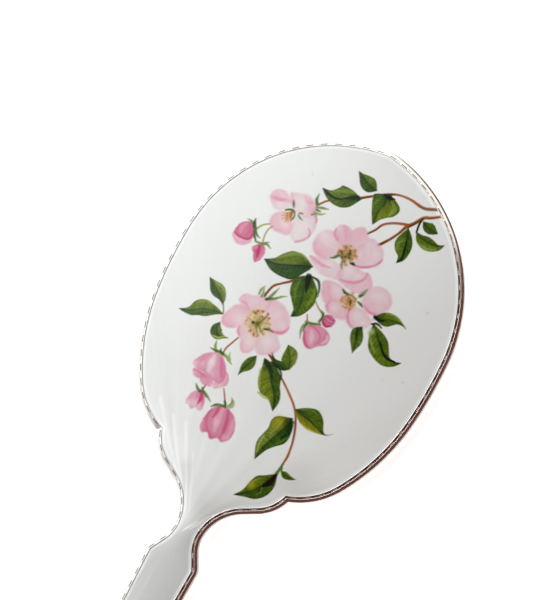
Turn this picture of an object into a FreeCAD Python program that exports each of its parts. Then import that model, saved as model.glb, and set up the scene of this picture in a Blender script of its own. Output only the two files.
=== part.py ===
import FreeCAD, Part
import math
import os

os.makedirs("parts", exist_ok=True)

# Dressing-table hand mirror lying on its glass, enamelled back upwards.
# Millimetres. +Y runs along the handle towards the head, +Z is the enamelled back,
# z = 0 is the front land of the glass bezel, and the length is centred on Y = 0.

# ---- overall outline ----
TOTAL_LENGTH = 276.0
Y_TOP = TOTAL_LENGTH / 2.0
Y_TIP = -TOTAL_LENGTH / 2.0

# Right-hand half of the outline as runs: ("arc", radius, turn in degrees) or ("line", length).
# A positive turn is convex, a negative turn is hollow. Every run leaves the last one tangentially.
HEAD_RUNS = [
    ("arc", 25.0, 10.0),
    ("arc", 71.3, 76.9),
    ("arc", 183.5, 9.0),
    ("arc", 92.5, 25.6),
    ("arc", 34.5, 38.4),
]
# The outline breaks inwards where the head meets the shoulder and sets off at a new heading.
SHOULDER_HEADING = -109.0
NECK_RUNS = [
    ("arc", 19.0, 41.4),
    ("line", 6.9),
    ("arc", 20.3, -51.9),
    ("arc", 13.4, -37.4),
    ("line", 6.3),
    ("arc", 6.0, 30.2),
]
# The handle tapers straight from its shoulders, flares a little and closes in a blunt round end.
# The straight is as long as the overall length leaves it.
TIP_RUNS = [
    ("arc", 60.0, -14.0),
    ("arc", 9.0, 74.0),
]

# ---- heights of the layers, measured at the edge of the enamel ----
ENAMEL_TOP_Z = 7.7
ENAMEL_THICK = 0.7
PLATE_THICK = 0.65
COUNTER_THICK = 0.3
LAYER_GAP = 0.02

# ---- insets from the outline ----
ENAMEL_INSET = 2.6
PLATE_INSET = 1.0
COUNTER_INSET = 2.3

# ---- crown of the back ----
HEAD_CROWN = 0.00083
CROWN_STEP = 4.0
NECK_CROWN = [
    (20.0, 2.35),
    (0.0, 1.90),
    (-12.0, 1.45),
    (-24.0, 0.88),
    (-40.0, 0.34),
    (-56.0, 0.32),
    (-120.0, 0.32),
]
HANDLE_TOP_WIDTH = 9.6

# ---- silver sheet and its section, as (inset, z) ----
SHEET = 0.8
BORDER_SECTION = [
    (0.0, 7.12),
    (0.0, 7.30),
    (0.3, 7.62),
    (0.8, 7.85),
    (0.9, 8.05),
    (1.2, 8.08),
    (1.35, 7.90),
    (2.50, 8.12),
    (2.55, 8.00),
    (2.55, 7.12),
]
FRONT_SECTION = [
    (0.0, 7.08),
    (0.0, 3.8),
    (0.4, 2.5),
    (1.3, 1.55),
    (2.8, 0.95),
    (4.9, 0.6),
]
BEZEL_SECTION = [
    (2.3, 2.6),
    (2.3, 0.9),
    (3.2, 0.2),
    (4.2, 0.0),
    (5.4, 0.0),
    (7.0, 0.5),
    (8.4, 1.2),
    (8.4, 1.7),
    (6.0, 1.95),
    (6.0, 5.6),
    (5.2, 5.6),
    (5.2, 1.3),
    (3.4, 1.3),
    (3.1, 2.6),
]
BEARER_SECTION = [(0.85, 5.15), (0.85, 5.65), (2.2, 5.65), (2.2, 5.15)]

# ---- glass and what lies behind it ----
BEZEL_INSET = 2.2
GLASS_INSET = 6.6
GLASS_FRONT_Z = 0.9
GLASS_BACK_Z = 4.0
GLASS_EDGE_Z = 2.1
BEVEL_WIDTH = 10.5
SILVERING_THICK = 0.1
FELT_THICK = 0.5
BOARD_THICK = 1.05
BOARD_INSET = 6.2
PACKING_INSET = 8.0
SLIP_THICK = 0.45
SLIP_LENGTH = 14.0
SLIP_ANGLES = [20.0, 90.0, 160.0, 200.0, 270.0, 340.0]
HEAD_CENTRE_Y = 62.0
SPRIG_SIZE = (4.6, 3.0, 0.22)
SPRIG_ANGLES = [50.0, 90.0, 130.0, 180.0, 235.0, 305.0, 360.0]

# ---- inside the handle ----
CORE_INSET = 1.3
CORE_TOP_Y = -17.5
CORE_BOTTOM_Z = 1.9
CORE_STEP_Z = 5.1
TANG_WIDTH = 7.0
TANG_THICK = 1.2
TANG_Z = 3.2
TANG_TOP_Y = -20.0
TANG_BOTTOM_Y = -104.0
TANG_HEAD_WIDTH = 26.0
RIVET_RADIUS = 1.1
RIVET_HEAD_RADIUS = 2.0
RIVET_HEAD_THICK = 0.35
RIVET_SPOTS = [(-8.0, -24.0), (8.0, -24.0), (0.0, -62.0), (0.0, -96.0)]


def vec(x, y, z=0.0):
    return FreeCAD.Vector(x, y, z)


def trace(point, heading, runs):
    """Follow the runs and return their circles and lines with start and end points."""
    steps = []
    for run in runs:
        ahead = math.radians(heading)
        if run[0] == "line":
            end = point + vec(math.cos(ahead), math.sin(ahead)) * run[1]
            steps.append({"kind": "line", "start": point, "end": end, "heading": heading})
        else:
            side = 1.0 if run[2] > 0 else -1.0
            centre = point + vec(math.sin(ahead), -math.cos(ahead)) * (run[1] * side)
            first = heading + 90.0 * side
            last = first - run[2]
            spoke = vec(math.cos(math.radians(last)), math.sin(math.radians(last)))
            end = centre + spoke * run[1]
            steps.append({
                "kind": "arc", "centre": centre, "radius": run[1], "side": side,
                "first": first, "last": last, "start": point, "end": end,
            })
            heading = heading - run[2]
        point = end
    return steps, point, heading


def closing_arc(point, heading):
    """Arc that carries a run round to cross the centre line squarely."""
    left_to_turn = 180.0 + heading
    radius = point.x / math.sin(math.radians(left_to_turn))
    return ("arc", radius, left_to_turn)


def head_oval_steps():
    """Head outline closed below by one arc: the shape of the glass and its bezel."""
    steps, point, heading = trace(vec(0.0, Y_TOP), 0.0, HEAD_RUNS)
    closing = closing_arc(point, heading)
    return trace(vec(0.0, Y_TOP), 0.0, HEAD_RUNS + [closing])[0]


def silhouette_steps():
    """Whole outline: head, then shoulder, neck, handle and tip."""
    head, corner, _ = trace(vec(0.0, Y_TOP), 0.0, HEAD_RUNS)
    neck, neck_end, taper_heading = trace(corner, SHOULDER_HEADING, NECK_RUNS)
    fall = -math.sin(math.radians(taper_heading))
    straight = 0.0
    for _ in range(3):
        runs = [("line", straight)] + TIP_RUNS
        _, point, heading = trace(neck_end, taper_heading, runs)
        handle, end, _ = trace(neck_end, taper_heading, runs + [closing_arc(point, heading)])
        straight += (end.y - Y_TIP) / fall
    return head, neck + handle


def spoke_angle(centre, point):
    return math.degrees(math.atan2(point.y - centre.y, point.x - centre.x))


def inset_step(step, inset):
    """Same run moved inwards by the inset."""
    moved = dict(step)
    if step["kind"] == "arc":
        moved["radius"] = step["radius"] - step["side"] * inset
        first = math.radians(step["first"])
        last = math.radians(step["last"])
        moved["start"] = step["centre"] + vec(math.cos(first), math.sin(first)) * moved["radius"]
        moved["end"] = step["centre"] + vec(math.cos(last), math.sin(last)) * moved["radius"]
    else:
        ahead = math.radians(step["heading"])
        shift = vec(math.sin(ahead), -math.cos(ahead)) * inset
        moved["start"] = step["start"] + shift
        moved["end"] = step["end"] + shift
    return moved


def corner_point(one, two, near):
    """Crossing of two circles nearest to a given point."""
    gap = two["centre"] - one["centre"]
    along = (one["radius"] ** 2 - two["radius"] ** 2 + gap.Length ** 2) / (2.0 * gap.Length)
    half = math.sqrt(one["radius"] ** 2 - along ** 2)
    unit = vec(gap.x / gap.Length, gap.y / gap.Length)
    middle = one["centre"] + unit * along
    across = vec(-unit.y, unit.x) * half
    return min([middle + across, middle - across], key=lambda p: (p - near).Length)


def inset_silhouette(inset):
    head, lower = silhouette_steps()
    head = [inset_step(step, inset) for step in head]
    lower = [inset_step(step, inset) for step in lower]
    corner = corner_point(head[-1], lower[0], head[-1]["end"])
    head[-1]["end"] = corner
    head[-1]["last"] = spoke_angle(head[-1]["centre"], corner)
    lower[0]["start"] = corner
    lower[0]["first"] = spoke_angle(lower[0]["centre"], corner)
    return head + lower


def inset_oval(inset):
    return [inset_step(step, inset) for step in head_oval_steps()]


def step_edge(step, z, mirrored):
    flip = -1.0 if mirrored else 1.0
    start = vec(step["start"].x * flip, step["start"].y, z)
    end = vec(step["end"].x * flip, step["end"].y, z)
    if step["kind"] == "line":
        return Part.LineSegment(start, end).toShape()
    first = step["first"]
    last = step["last"]
    while last - first > 180.0:
        last -= 360.0
    while last - first < -180.0:
        last += 360.0
    middle_angle = math.radians((first + last) / 2.0)
    spoke = vec(math.cos(middle_angle), math.sin(middle_angle)) * step["radius"]
    middle = vec((step["centre"].x + spoke.x) * flip, step["centre"].y + spoke.y, z)
    return Part.Arc(start, middle, end).toShape()


def loop_edges(outline, inset, z):
    """Right half from the top down, then the left half back up."""
    steps = outline(inset)
    right = [step_edge(step, z, False) for step in steps]
    left = [step_edge(step, z, True) for step in reversed(steps)]
    return right + left


def loop_wire(outline, inset, z):
    return Part.Wire(Part.sortEdges(loop_edges(outline, inset, z))[0])


def band_faces(outline, one, two):
    """Faces between the outline at two section points."""
    if one[0] == two[0]:
        wire = loop_wire(outline, one[0], one[1])
        return wire.extrude(vec(0.0, 0.0, two[1] - one[1])).Faces
    if one[1] == two[1]:
        outer = loop_wire(outline, min(one[0], two[0]), one[1])
        inner = loop_wire(outline, max(one[0], two[0]), one[1])
        return [Part.makeFace([outer, inner], "Part::FaceMakerBullseye")]
    pairs = zip(loop_edges(outline, *one), loop_edges(outline, *two))
    return [Part.makeRuledSurface(low, high) for low, high in pairs]


def solid_from(faces):
    shell = Part.makeShell(faces)
    shell.sewShape()
    solid = Part.makeSolid(Part.Shell(shell.Faces))
    if solid.Volume < 0:
        solid.reverse()
    return solid


def ring(outline, section):
    """Closed ring whose section is carried round the outline with mitred corners."""
    faces = []
    for one, two in zip(section, section[1:] + section[:1]):
        faces += band_faces(outline, one, two)
    return solid_from(faces)


def capped(outline, section):
    """Solid bounded by bands of the section and closed by a flat face at each end."""
    faces = []
    for one, two in zip(section, section[1:]):
        faces += band_faces(outline, one, two)
    faces.append(Part.Face(loop_wire(outline, *section[0])))
    faces.append(Part.Face(loop_wire(outline, *section[-1])))
    return solid_from(faces)


def prism(outline, inset, z_low, z_high):
    base = Part.Face(loop_wire(outline, inset, z_low))
    return base.extrude(vec(0.0, 0.0, z_high - z_low))


def half_width_squared(y):
    """Square of the enamel's half width, carried on past both ends with the end arc's slope."""
    steps = inset_silhouette(ENAMEL_INSET)
    top = steps[0]["start"].y
    tip = steps[-1]["end"].y
    if y >= top:
        return -2.0 * steps[0]["radius"] * (y - top)
    if y <= tip:
        return -2.0 * steps[-1]["radius"] * (tip - y)
    for step in steps:
        if step["end"].y <= y <= step["start"].y:
            if step["kind"] == "arc":
                rise = step["radius"] ** 2 - (y - step["centre"].y) ** 2
                x = step["centre"].x + step["side"] * math.sqrt(max(rise, 0.0))
            else:
                part = (y - step["start"].y) / (step["end"].y - step["start"].y)
                x = step["start"].x + part * (step["end"].x - step["start"].x)
            return x * x
    return 0.0


def crown_height(y):
    """Height of the crown on the centre line above the enamel's edge."""
    squared = half_width_squared(y)
    if y >= NECK_CROWN[0][0]:
        return HEAD_CROWN * squared
    if y <= NECK_CROWN[-1][0]:
        return NECK_CROWN[-1][1] * min(squared / HANDLE_TOP_WIDTH ** 2, 1.0)
    for (y_one, h_one), (y_two, h_two) in zip(NECK_CROWN, NECK_CROWN[1:]):
        if y_two <= y <= y_one:
            part = (y_one - y) / (y_one - y_two)
            return h_one + (h_two - h_one) * part
    return 0.0


def crown_surface(z_edge):
    """Surface that is a parabola across the mirror and follows the crown along it."""
    reach = 70.0
    count = int(TOTAL_LENGTH / CROWN_STEP) + 5
    start = -CROWN_STEP * (count - 1) / 2.0
    poles = []
    for row in range(count):
        y = start + CROWN_STEP * row
        height = crown_height(y)
        squared = half_width_squared(y)
        if squared < 4.0:
            bend = HEAD_CROWN if y > 0 else NECK_CROWN[-1][1] / HANDLE_TOP_WIDTH ** 2
        else:
            bend = height / squared
        drop = bend * reach * reach
        edge_z = z_edge + height - drop
        middle_z = z_edge + height + drop
        poles.append([vec(-reach, y, edge_z), vec(0.0, y, middle_z), vec(reach, y, edge_z)])
    spans = count - 3
    knots = [float(k) for k in range(spans + 1)]
    ends = [4] + [1] * (spans - 1) + [4]
    surface = Part.BSplineSurface()
    surface.buildFromPolesMultsKnots(poles, ends, [3, 3], knots, [0.0, 1.0], False, False, 3, 2)
    return surface


def crowned_layer(inset, z_edge_low, thickness):
    """Layer of even thickness under the crowned surface, trimmed to the outline."""
    sheet = crown_surface(z_edge_low).toShape()
    trimmed = sheet.common(prism(inset_silhouette, inset, -30.0, 40.0))
    return trimmed.Faces[0].extrude(vec(0.0, 0.0, thickness))


def make_enamel_panel():
    return crowned_layer(ENAMEL_INSET, ENAMEL_TOP_Z - ENAMEL_THICK, ENAMEL_THICK)


def make_back_plate():
    low = ENAMEL_TOP_Z - ENAMEL_THICK - LAYER_GAP - PLATE_THICK
    return crowned_layer(PLATE_INSET, low, PLATE_THICK)


def counter_bottom_z():
    return ENAMEL_TOP_Z - ENAMEL_THICK - PLATE_THICK - COUNTER_THICK - 2.0 * LAYER_GAP


def make_counter_enamel():
    return crowned_layer(COUNTER_INSET, counter_bottom_z(), COUNTER_THICK)


def make_engraved_border():
    return ring(inset_silhouette, BORDER_SECTION)


def make_front_shell():
    """Stamped front half: side wall all round, rounded handle front, opening for the bezel."""
    outside = capped(inset_silhouette, FRONT_SECTION)
    inner_section = [(inset + SHEET, z + SHEET) for inset, z in FRONT_SECTION]
    hollow = capped(inset_silhouette, inner_section)
    opening = prism(inset_oval, BEZEL_INSET, -1.0, 9.0)
    return outside.cut(hollow).cut(opening)


def make_glass_bezel():
    return ring(inset_oval, BEZEL_SECTION)


def make_plate_bearer():
    return ring(inset_silhouette, BEARER_SECTION)


def make_mirror_glass():
    section = [
        (GLASS_INSET + BEVEL_WIDTH, GLASS_FRONT_Z),
        (GLASS_INSET, GLASS_EDGE_Z),
        (GLASS_INSET, GLASS_BACK_Z),
    ]
    return capped(inset_oval, section)


def make_silvering():
    return prism(inset_oval, GLASS_INSET + 0.2, GLASS_BACK_Z, GLASS_BACK_Z + SILVERING_THICK)


def felt_bottom_z():
    return GLASS_BACK_Z + SILVERING_THICK


def make_packing_felt():
    return prism(inset_oval, GLASS_INSET, felt_bottom_z(), felt_bottom_z() + FELT_THICK)


def make_backing_board():
    low = felt_bottom_z() + FELT_THICK
    return prism(inset_oval, BOARD_INSET, low, low + BOARD_THICK)


def make_dome_packing():
    """Filling between the flat board and the hollow of the crowned back."""
    low = felt_bottom_z() + FELT_THICK + BOARD_THICK + 0.3
    block = prism(inset_oval, PACKING_INSET, low, 14.0)
    above = crown_surface(counter_bottom_z() - 0.05).toShape().extrude(vec(0.0, 0.0, 40.0))
    return block.cut(above)


def oval_spot(angle_degrees, inset):
    """Point of the head oval seen from the head's centre at an angle, and the way out there."""
    ring_wire = loop_wire(inset_oval, inset, 0.0)
    angle = math.radians(angle_degrees)
    centre = vec(0.0, HEAD_CENTRE_Y)
    out = vec(math.cos(angle), math.sin(angle))
    ray = Part.LineSegment(centre, centre + out * 120.0).toShape()
    distance, pairs, _ = ring_wire.distToShape(ray)
    return pairs[0][0], out


def make_edge_slips():
    """Cork slips that centre the glass in its bezel."""
    outer = prism(inset_oval, 6.05, 2.3, GLASS_BACK_Z - 0.2)
    inner = prism(inset_oval, 6.05 + SLIP_THICK, 2.2, GLASS_BACK_Z)
    band = outer.cut(inner)
    slips = []
    for angle in SLIP_ANGLES:
        spot, _ = oval_spot(angle, 6.2)
        window = Part.makeBox(SLIP_LENGTH, 20.0, 10.0, vec(-SLIP_LENGTH / 2.0, -10.0, 0.0))
        window.rotate(vec(0.0, 0.0, 0.0), vec(0.0, 0.0, 1.0), angle - 90.0)
        window.translate(spot)
        slips.append(band.common(window).Solids[0])
    return Part.makeCompound(slips)


def make_board_sprigs():
    """Flat points bent over from the bezel wall on to the board."""
    long, wide, thick = SPRIG_SIZE
    low = felt_bottom_z() + FELT_THICK + BOARD_THICK + 0.01
    sprigs = []
    for angle in SPRIG_ANGLES:
        spot, _ = oval_spot(angle, 5.4)
        corners = [
            vec(0.0, -wide / 2.0, low),
            vec(0.0, wide / 2.0, low),
            vec(-long, wide / 6.0, low),
            vec(-long, -wide / 6.0, low),
        ]
        sprig = Part.Face(Part.makePolygon(corners + corners[:1])).extrude(vec(0.0, 0.0, thick))
        sprig.rotate(vec(0.0, 0.0, 0.0), vec(0.0, 0.0, 1.0), angle)
        sprig.translate(spot)
        sprigs.append(sprig)
    return Part.makeCompound(sprigs)


def tang_blank(clearance):
    """Strip with a broad fish-tail end that lies in the shoulder of the mirror."""
    half = TANG_WIDTH / 2.0 + clearance
    wide = TANG_HEAD_WIDTH / 2.0 + clearance
    top = TANG_TOP_Y + clearance
    corners = [
        vec(-wide, top),
        vec(wide, top),
        vec(wide - 3.0, top - 5.0 - 2.0 * clearance),
        vec(half, top - 19.0),
        vec(half, TANG_BOTTOM_Y - clearance),
        vec(-half, TANG_BOTTOM_Y - clearance),
        vec(-half, top - 19.0),
        vec(-wide + 3.0, top - 5.0 - 2.0 * clearance),
    ]
    face = Part.Face(Part.makePolygon(corners + corners[:1]))
    face.translate(vec(0.0, 0.0, TANG_Z - clearance))
    return face.extrude(vec(0.0, 0.0, TANG_THICK + 2.0 * clearance))


def rivet(x, y, clearance):
    """Round rivet with a flat head above and below the core."""
    low, high = core_heights()
    shank = Part.makeCylinder(RIVET_RADIUS + clearance, high - low, vec(x, y, low))
    if clearance > 0:
        return shank
    head = RIVET_HEAD_THICK
    upper = Part.makeCylinder(RIVET_HEAD_RADIUS, head, vec(x, y, high - head))
    lower = Part.makeCylinder(RIVET_HEAD_RADIUS, head, vec(x, y, low))
    return shank.fuse([upper, lower]).removeSplitter()


def rivet_sinking(x, y):
    low, high = core_heights()
    deep = RIVET_HEAD_THICK + 0.03
    wide = RIVET_HEAD_RADIUS + 0.05
    upper = Part.makeCylinder(wide, deep, vec(x, y, high - deep))
    lower = Part.makeCylinder(wide, deep, vec(x, y, low))
    return upper.fuse(lower)


def core_heights():
    return CORE_BOTTOM_Z, counter_bottom_z() - 0.35


def make_handle_core():
    """Wooden filling of the handle and shoulder, with a slot for the tang."""
    low, high = core_heights()
    section = [(CORE_INSET + 2.2, low), (CORE_INSET, low + 1.6), (CORE_INSET, CORE_STEP_Z)]
    core = capped(inset_silhouette, section)
    cap = prism(inset_silhouette, BEARER_SECTION[2][0] + 0.2, CORE_STEP_Z, high)
    core = core.fuse(cap)
    below = Part.makeBox(160.0, CORE_TOP_Y - Y_TIP + 5.0, 20.0, vec(-80.0, Y_TIP - 5.0, -5.0))
    core = core.common(below)
    core = core.cut(tang_blank(0.03))
    for x, y in RIVET_SPOTS:
        core = core.cut(rivet(x, y, 0.05)).cut(rivet_sinking(x, y))
    return core


def make_neck_tang():
    tang = tang_blank(0.0)
    for x, y in RIVET_SPOTS:
        tang = tang.cut(rivet(x, y, 0.05))
    return tang


def make_tang_rivets():
    return Part.makeCompound([rivet(x, y, 0.0) for x, y in RIVET_SPOTS])


NODES = {
    "enamel_panel": make_enamel_panel,
    "back_plate": make_back_plate,
    "counter_enamel": make_counter_enamel,
    "engraved_border": make_engraved_border,
    "plate_bearer": make_plate_bearer,
    "front_shell": make_front_shell,
    "glass_bezel": make_glass_bezel,
    "mirror_glass": make_mirror_glass,
    "silvering": make_silvering,
    "packing_felt": make_packing_felt,
    "backing_board": make_backing_board,
    "dome_packing": make_dome_packing,
    "edge_slips": make_edge_slips,
    "board_sprigs": make_board_sprigs,
    "handle_core": make_handle_core,
    "neck_tang": make_neck_tang,
    "tang_rivets": make_tang_rivets,
}

for name, make in NODES.items():
    shape = make()
    box = shape.BoundBox
    print(
        name, "valid", shape.isValid(), "solids", len(shape.Solids), "volume", round(shape.Volume, 1),
        "x", round(box.XMin, 2), round(box.XMax, 2), "y", round(box.YMin, 2), round(box.YMax, 2),
        "z", round(box.ZMin, 2), round(box.ZMax, 2), "faces", len(shape.Faces),
    )
    shape.exportStep("parts/" + name + ".step")
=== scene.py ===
import math

import bpy
import numpy as np
from mathutils import Matrix, Vector
from mathutils.kdtree import KDTree


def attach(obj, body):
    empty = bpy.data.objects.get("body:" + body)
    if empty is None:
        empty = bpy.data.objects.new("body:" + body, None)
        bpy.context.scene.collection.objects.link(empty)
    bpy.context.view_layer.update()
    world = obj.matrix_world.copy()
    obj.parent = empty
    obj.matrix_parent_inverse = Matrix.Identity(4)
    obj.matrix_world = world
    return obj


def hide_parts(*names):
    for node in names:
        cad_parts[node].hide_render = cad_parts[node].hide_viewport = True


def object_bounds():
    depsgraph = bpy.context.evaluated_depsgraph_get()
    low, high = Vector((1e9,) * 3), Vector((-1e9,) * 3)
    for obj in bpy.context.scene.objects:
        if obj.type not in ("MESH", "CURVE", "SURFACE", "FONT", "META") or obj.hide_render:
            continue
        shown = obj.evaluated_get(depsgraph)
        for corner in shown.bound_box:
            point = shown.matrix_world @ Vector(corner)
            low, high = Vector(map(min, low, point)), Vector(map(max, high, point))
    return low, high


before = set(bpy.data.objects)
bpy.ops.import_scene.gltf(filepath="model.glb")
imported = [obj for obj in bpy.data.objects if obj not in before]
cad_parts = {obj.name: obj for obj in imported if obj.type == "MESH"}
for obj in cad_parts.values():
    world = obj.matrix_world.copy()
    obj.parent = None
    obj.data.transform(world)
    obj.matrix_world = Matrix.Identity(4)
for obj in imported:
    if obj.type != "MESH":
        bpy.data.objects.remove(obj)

cad_low, cad_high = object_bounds()

# Lengths below are in millimetres unless a name ends in _m.
MM = 0.001

# ---------------------------------------------------------------- outline
# The same runs as the CAD outline: ("arc", radius, turn in degrees) or ("line", length).
Y_TOP = cad_high[1] / MM
Y_TIP = cad_low[1] / MM
HEAD_RUNS = [
    ("arc", 25.0, 10.0), ("arc", 71.3, 76.9), ("arc", 183.5, 9.0), ("arc", 92.5, 25.6), ("arc", 34.5, 38.4),
]
SHOULDER_HEADING = -109.0
NECK_RUNS = [
    ("arc", 19.0, 41.4), ("line", 6.9), ("arc", 20.3, -51.9), ("arc", 13.4, -37.4), ("line", 6.3),
    ("arc", 6.0, 30.2),
]
TIP_RUNS = [("arc", 60.0, -14.0), ("arc", 9.0, 74.0)]


def polar(degrees):
    return np.array([math.cos(math.radians(degrees)), math.sin(math.radians(degrees))])


def trace(point, heading, runs):
    """Follow the runs from a point and return each as a step, with the end point and heading."""
    steps = []
    for run in runs:
        ahead = polar(heading)
        if run[0] == "line":
            end = point + ahead * run[1]
            steps.append({"kind": "line", "start": point, "end": end, "heading": heading})
        else:
            side = 1.0 if run[2] > 0 else -1.0
            centre = point + np.array([ahead[1], -ahead[0]]) * (run[1] * side)
            first = heading + 90.0 * side
            last = first - run[2]
            end = centre + polar(last) * run[1]
            steps.append({
                "kind": "arc", "centre": centre, "radius": run[1], "side": side, "first": first, "last": last,
                "start": point, "end": end,
            })
            heading -= run[2]
        point = end
    return steps, point, heading


def closing_arc(point, heading):
    left = 180.0 + heading
    return ("arc", point[0] / math.sin(math.radians(left)), left)


def silhouette():
    """Right half of the outline: the head's steps and those of shoulder, neck, handle and tip."""
    head, corner, _ = trace(np.array([0.0, Y_TOP]), 0.0, HEAD_RUNS)
    neck, neck_end, taper = trace(corner, SHOULDER_HEADING, NECK_RUNS)
    fall = -math.sin(math.radians(taper))
    straight = 0.0
    for _ in range(3):
        runs = [("line", straight)] + TIP_RUNS
        _, point, heading = trace(neck_end, taper, runs)
        handle, end, _ = trace(neck_end, taper, runs + [closing_arc(point, heading)])
        straight += (end[1] - Y_TIP) / fall
    return head, neck + handle


def inset_step(step, inset):
    moved = dict(step)
    if step["kind"] == "arc":
        moved["radius"] = step["radius"] - step["side"] * inset
        moved["start"] = step["centre"] + polar(step["first"]) * moved["radius"]
        moved["end"] = step["centre"] + polar(step["last"]) * moved["radius"]
    else:
        ahead = polar(step["heading"])
        shift = np.array([ahead[1], -ahead[0]]) * inset
        moved["start"] = step["start"] + shift
        moved["end"] = step["end"] + shift
    return moved


def angle_near(centre, point, reference):
    angle = math.degrees(math.atan2(point[1] - centre[1], point[0] - centre[0]))
    return angle + 360.0 * round((reference - angle) / 360.0)


def inset_steps(inset):
    """Steps moved inwards, with the inward corner below the head closed up again."""
    head, lower = silhouette()
    head = [inset_step(step, inset) for step in head]
    lower = [inset_step(step, inset) for step in lower]
    one, two = head[-1], lower[0]
    gap = two["centre"] - one["centre"]
    span = np.hypot(*gap)
    along = (one["radius"] ** 2 - two["radius"] ** 2 + span ** 2) / (2.0 * span)
    across = np.array([-gap[1], gap[0]]) / span * math.sqrt(one["radius"] ** 2 - along ** 2)
    middle = one["centre"] + gap / span * along
    corner = min([middle + across, middle - across], key=lambda p: np.hypot(*(p - one["end"])))
    one["end"] = corner
    one["last"] = angle_near(one["centre"], corner, one["last"])
    two["start"] = corner
    two["first"] = angle_near(two["centre"], corner, two["first"])
    return head + lower


def step_counts(spacing):
    counts = []
    for step in inset_steps(0.0):
        if step["kind"] == "arc":
            length = step["radius"] * math.radians(abs(step["last"] - step["first"]))
        else:
            length = np.hypot(*(step["end"] - step["start"]))
        counts.append(max(3, int(round(length / spacing))))
    return counts


def half_line(inset, counts):
    """Points down the right half. The same counts give matching points at every inset."""
    points = []
    for step, count in zip(inset_steps(inset), counts):
        for k in range(count):
            part = k / count
            if step["kind"] == "arc":
                angle = step["first"] + (step["last"] - step["first"]) * part
                points.append(step["centre"] + polar(angle) * step["radius"])
            else:
                points.append(step["start"] + (step["end"] - step["start"]) * part)
    points.append(np.array([0.0, step["end"][1]]))
    points[0] = np.array([0.0, points[0][1]])
    return np.array(points)


def full_loop(inset, counts):
    right = half_line(inset, counts)
    left = right[1:-1][::-1] * np.array([-1.0, 1.0])
    return np.vstack([right, left])


# ---------------------------------------------------------------- crown of the back
# The enamel meets the border at one height and is crowned above it by a height and a bend for each row.
ENAMEL_EDGE_Z = 7.7
ENAMEL_INSET = 2.6
HEAD_CROWN = 0.00083
CROWN_STEP = 4.0
CROWN_SPAN = 148.0
NARROWEST = 2.0
NECK_CROWN = [
    (20.0, 2.35), (0.0, 1.90), (-12.0, 1.45), (-24.0, 0.88), (-40.0, 0.34), (-56.0, 0.32), (-120.0, 0.32),
]
HANDLE_TOP_WIDTH = 9.6

enamel_side = half_line(ENAMEL_INSET, step_counts(0.25))


def half_width(y):
    """Half width of the enamel at a height along the mirror."""
    return np.interp(y, enamel_side[::-1, 1], enamel_side[::-1, 0], left=0.0, right=0.0)


def crown_table():
    rows = np.arange(-CROWN_SPAN, CROWN_SPAN + 1.0, CROWN_STEP)
    heights, bends = [], []
    for y in rows:
        squared = float(half_width(y)) ** 2
        if y >= NECK_CROWN[0][0]:
            height = HEAD_CROWN * squared
        elif y <= NECK_CROWN[-1][0]:
            height = NECK_CROWN[-1][1] * min(squared / HANDLE_TOP_WIDTH ** 2, 1.0)
        else:
            height = np.interp(y, [p[0] for p in NECK_CROWN[::-1]], [p[1] for p in NECK_CROWN[::-1]])
        heights.append(height)
        if squared < NARROWEST ** 2:
            bends.append(HEAD_CROWN if y > 0 else NECK_CROWN[-1][1] / HANDLE_TOP_WIDTH ** 2)
        else:
            bends.append(height / squared)
    return rows[0], np.array(heights), np.array(bends)


CROWN_START, CROWN_HEIGHTS, CROWN_BENDS = crown_table()


def smooth_rows(values, y):
    """Cubic B-spline through evenly spaced rows."""
    place = (np.asarray(y, float) - CROWN_START) / CROWN_STEP
    row = np.clip(np.floor(place).astype(int), 1, len(values) - 3)
    t = place - row
    weights = [(1 - t) ** 3, 3 * t ** 3 - 6 * t ** 2 + 4, -3 * t ** 3 + 3 * t ** 2 + 3 * t + 1, t ** 3]
    return sum(w * values[row + k - 1] for k, w in enumerate(weights)) / 6.0


def crown_z(x, y):
    return ENAMEL_EDGE_Z + smooth_rows(CROWN_HEIGHTS, y) - smooth_rows(CROWN_BENDS, y) * x * x


# ---------------------------------------------------------------- small helpers
def new_mesh(name, points_mm, faces, smooth=True):
    mesh = bpy.data.meshes.new(name)
    mesh.from_pydata((np.asarray(points_mm) * MM).tolist(), [], faces)
    mesh.validate()
    if smooth:
        mesh.polygons.foreach_set("use_smooth", [True] * len(mesh.polygons))
    mesh.update()
    piece = bpy.data.objects.new(name, mesh)
    bpy.context.scene.collection.objects.link(piece)
    return piece


def grid_faces(rows, columns, closed_rows=False):
    """Quads of a grid stored row by row."""
    faces = []
    last = rows if closed_rows else rows - 1
    for i in range(last):
        a = i * columns
        b = ((i + 1) % rows) * columns
        for j in range(columns - 1):
            faces.append((a + j, b + j, b + j + 1, a + j + 1))
    return faces


def point_value(piece, name, values):
    layer = piece.data.attributes.new(name, "FLOAT", "POINT")
    layer.data.foreach_set("value", np.asarray(values, dtype=np.float32).ravel())


def smoothstep(low, high, value):
    t = np.clip((value - low) / (high - low), 0.0, 1.0)
    return t * t * (3.0 - 2.0 * t)


# ---------------------------------------------------------------- painting
def curve_through(points, per_span, closed=False):
    """Rounded curve through a few points."""
    pts = np.array(points, float)
    if closed:
        pts = np.vstack([pts[-1], pts, pts[0], pts[1]])
    else:
        pts = np.vstack([2 * pts[0] - pts[1], pts, 2 * pts[-1] - pts[-2]])
    out = []
    for k in range(1, len(pts) - 2):
        p0, p1, p2, p3 = pts[k - 1:k + 3]
        for step in range(per_span):
            t = step / per_span
            out.append(0.5 * (2 * p1 + (p2 - p0) * t + (2 * p0 - 5 * p1 + 4 * p2 - p3) * t ** 2
                              + (3 * p1 - p0 - 3 * p2 + p3) * t ** 3))
    if not closed:
        out.append(pts[-2])
    return np.array(out)


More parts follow.
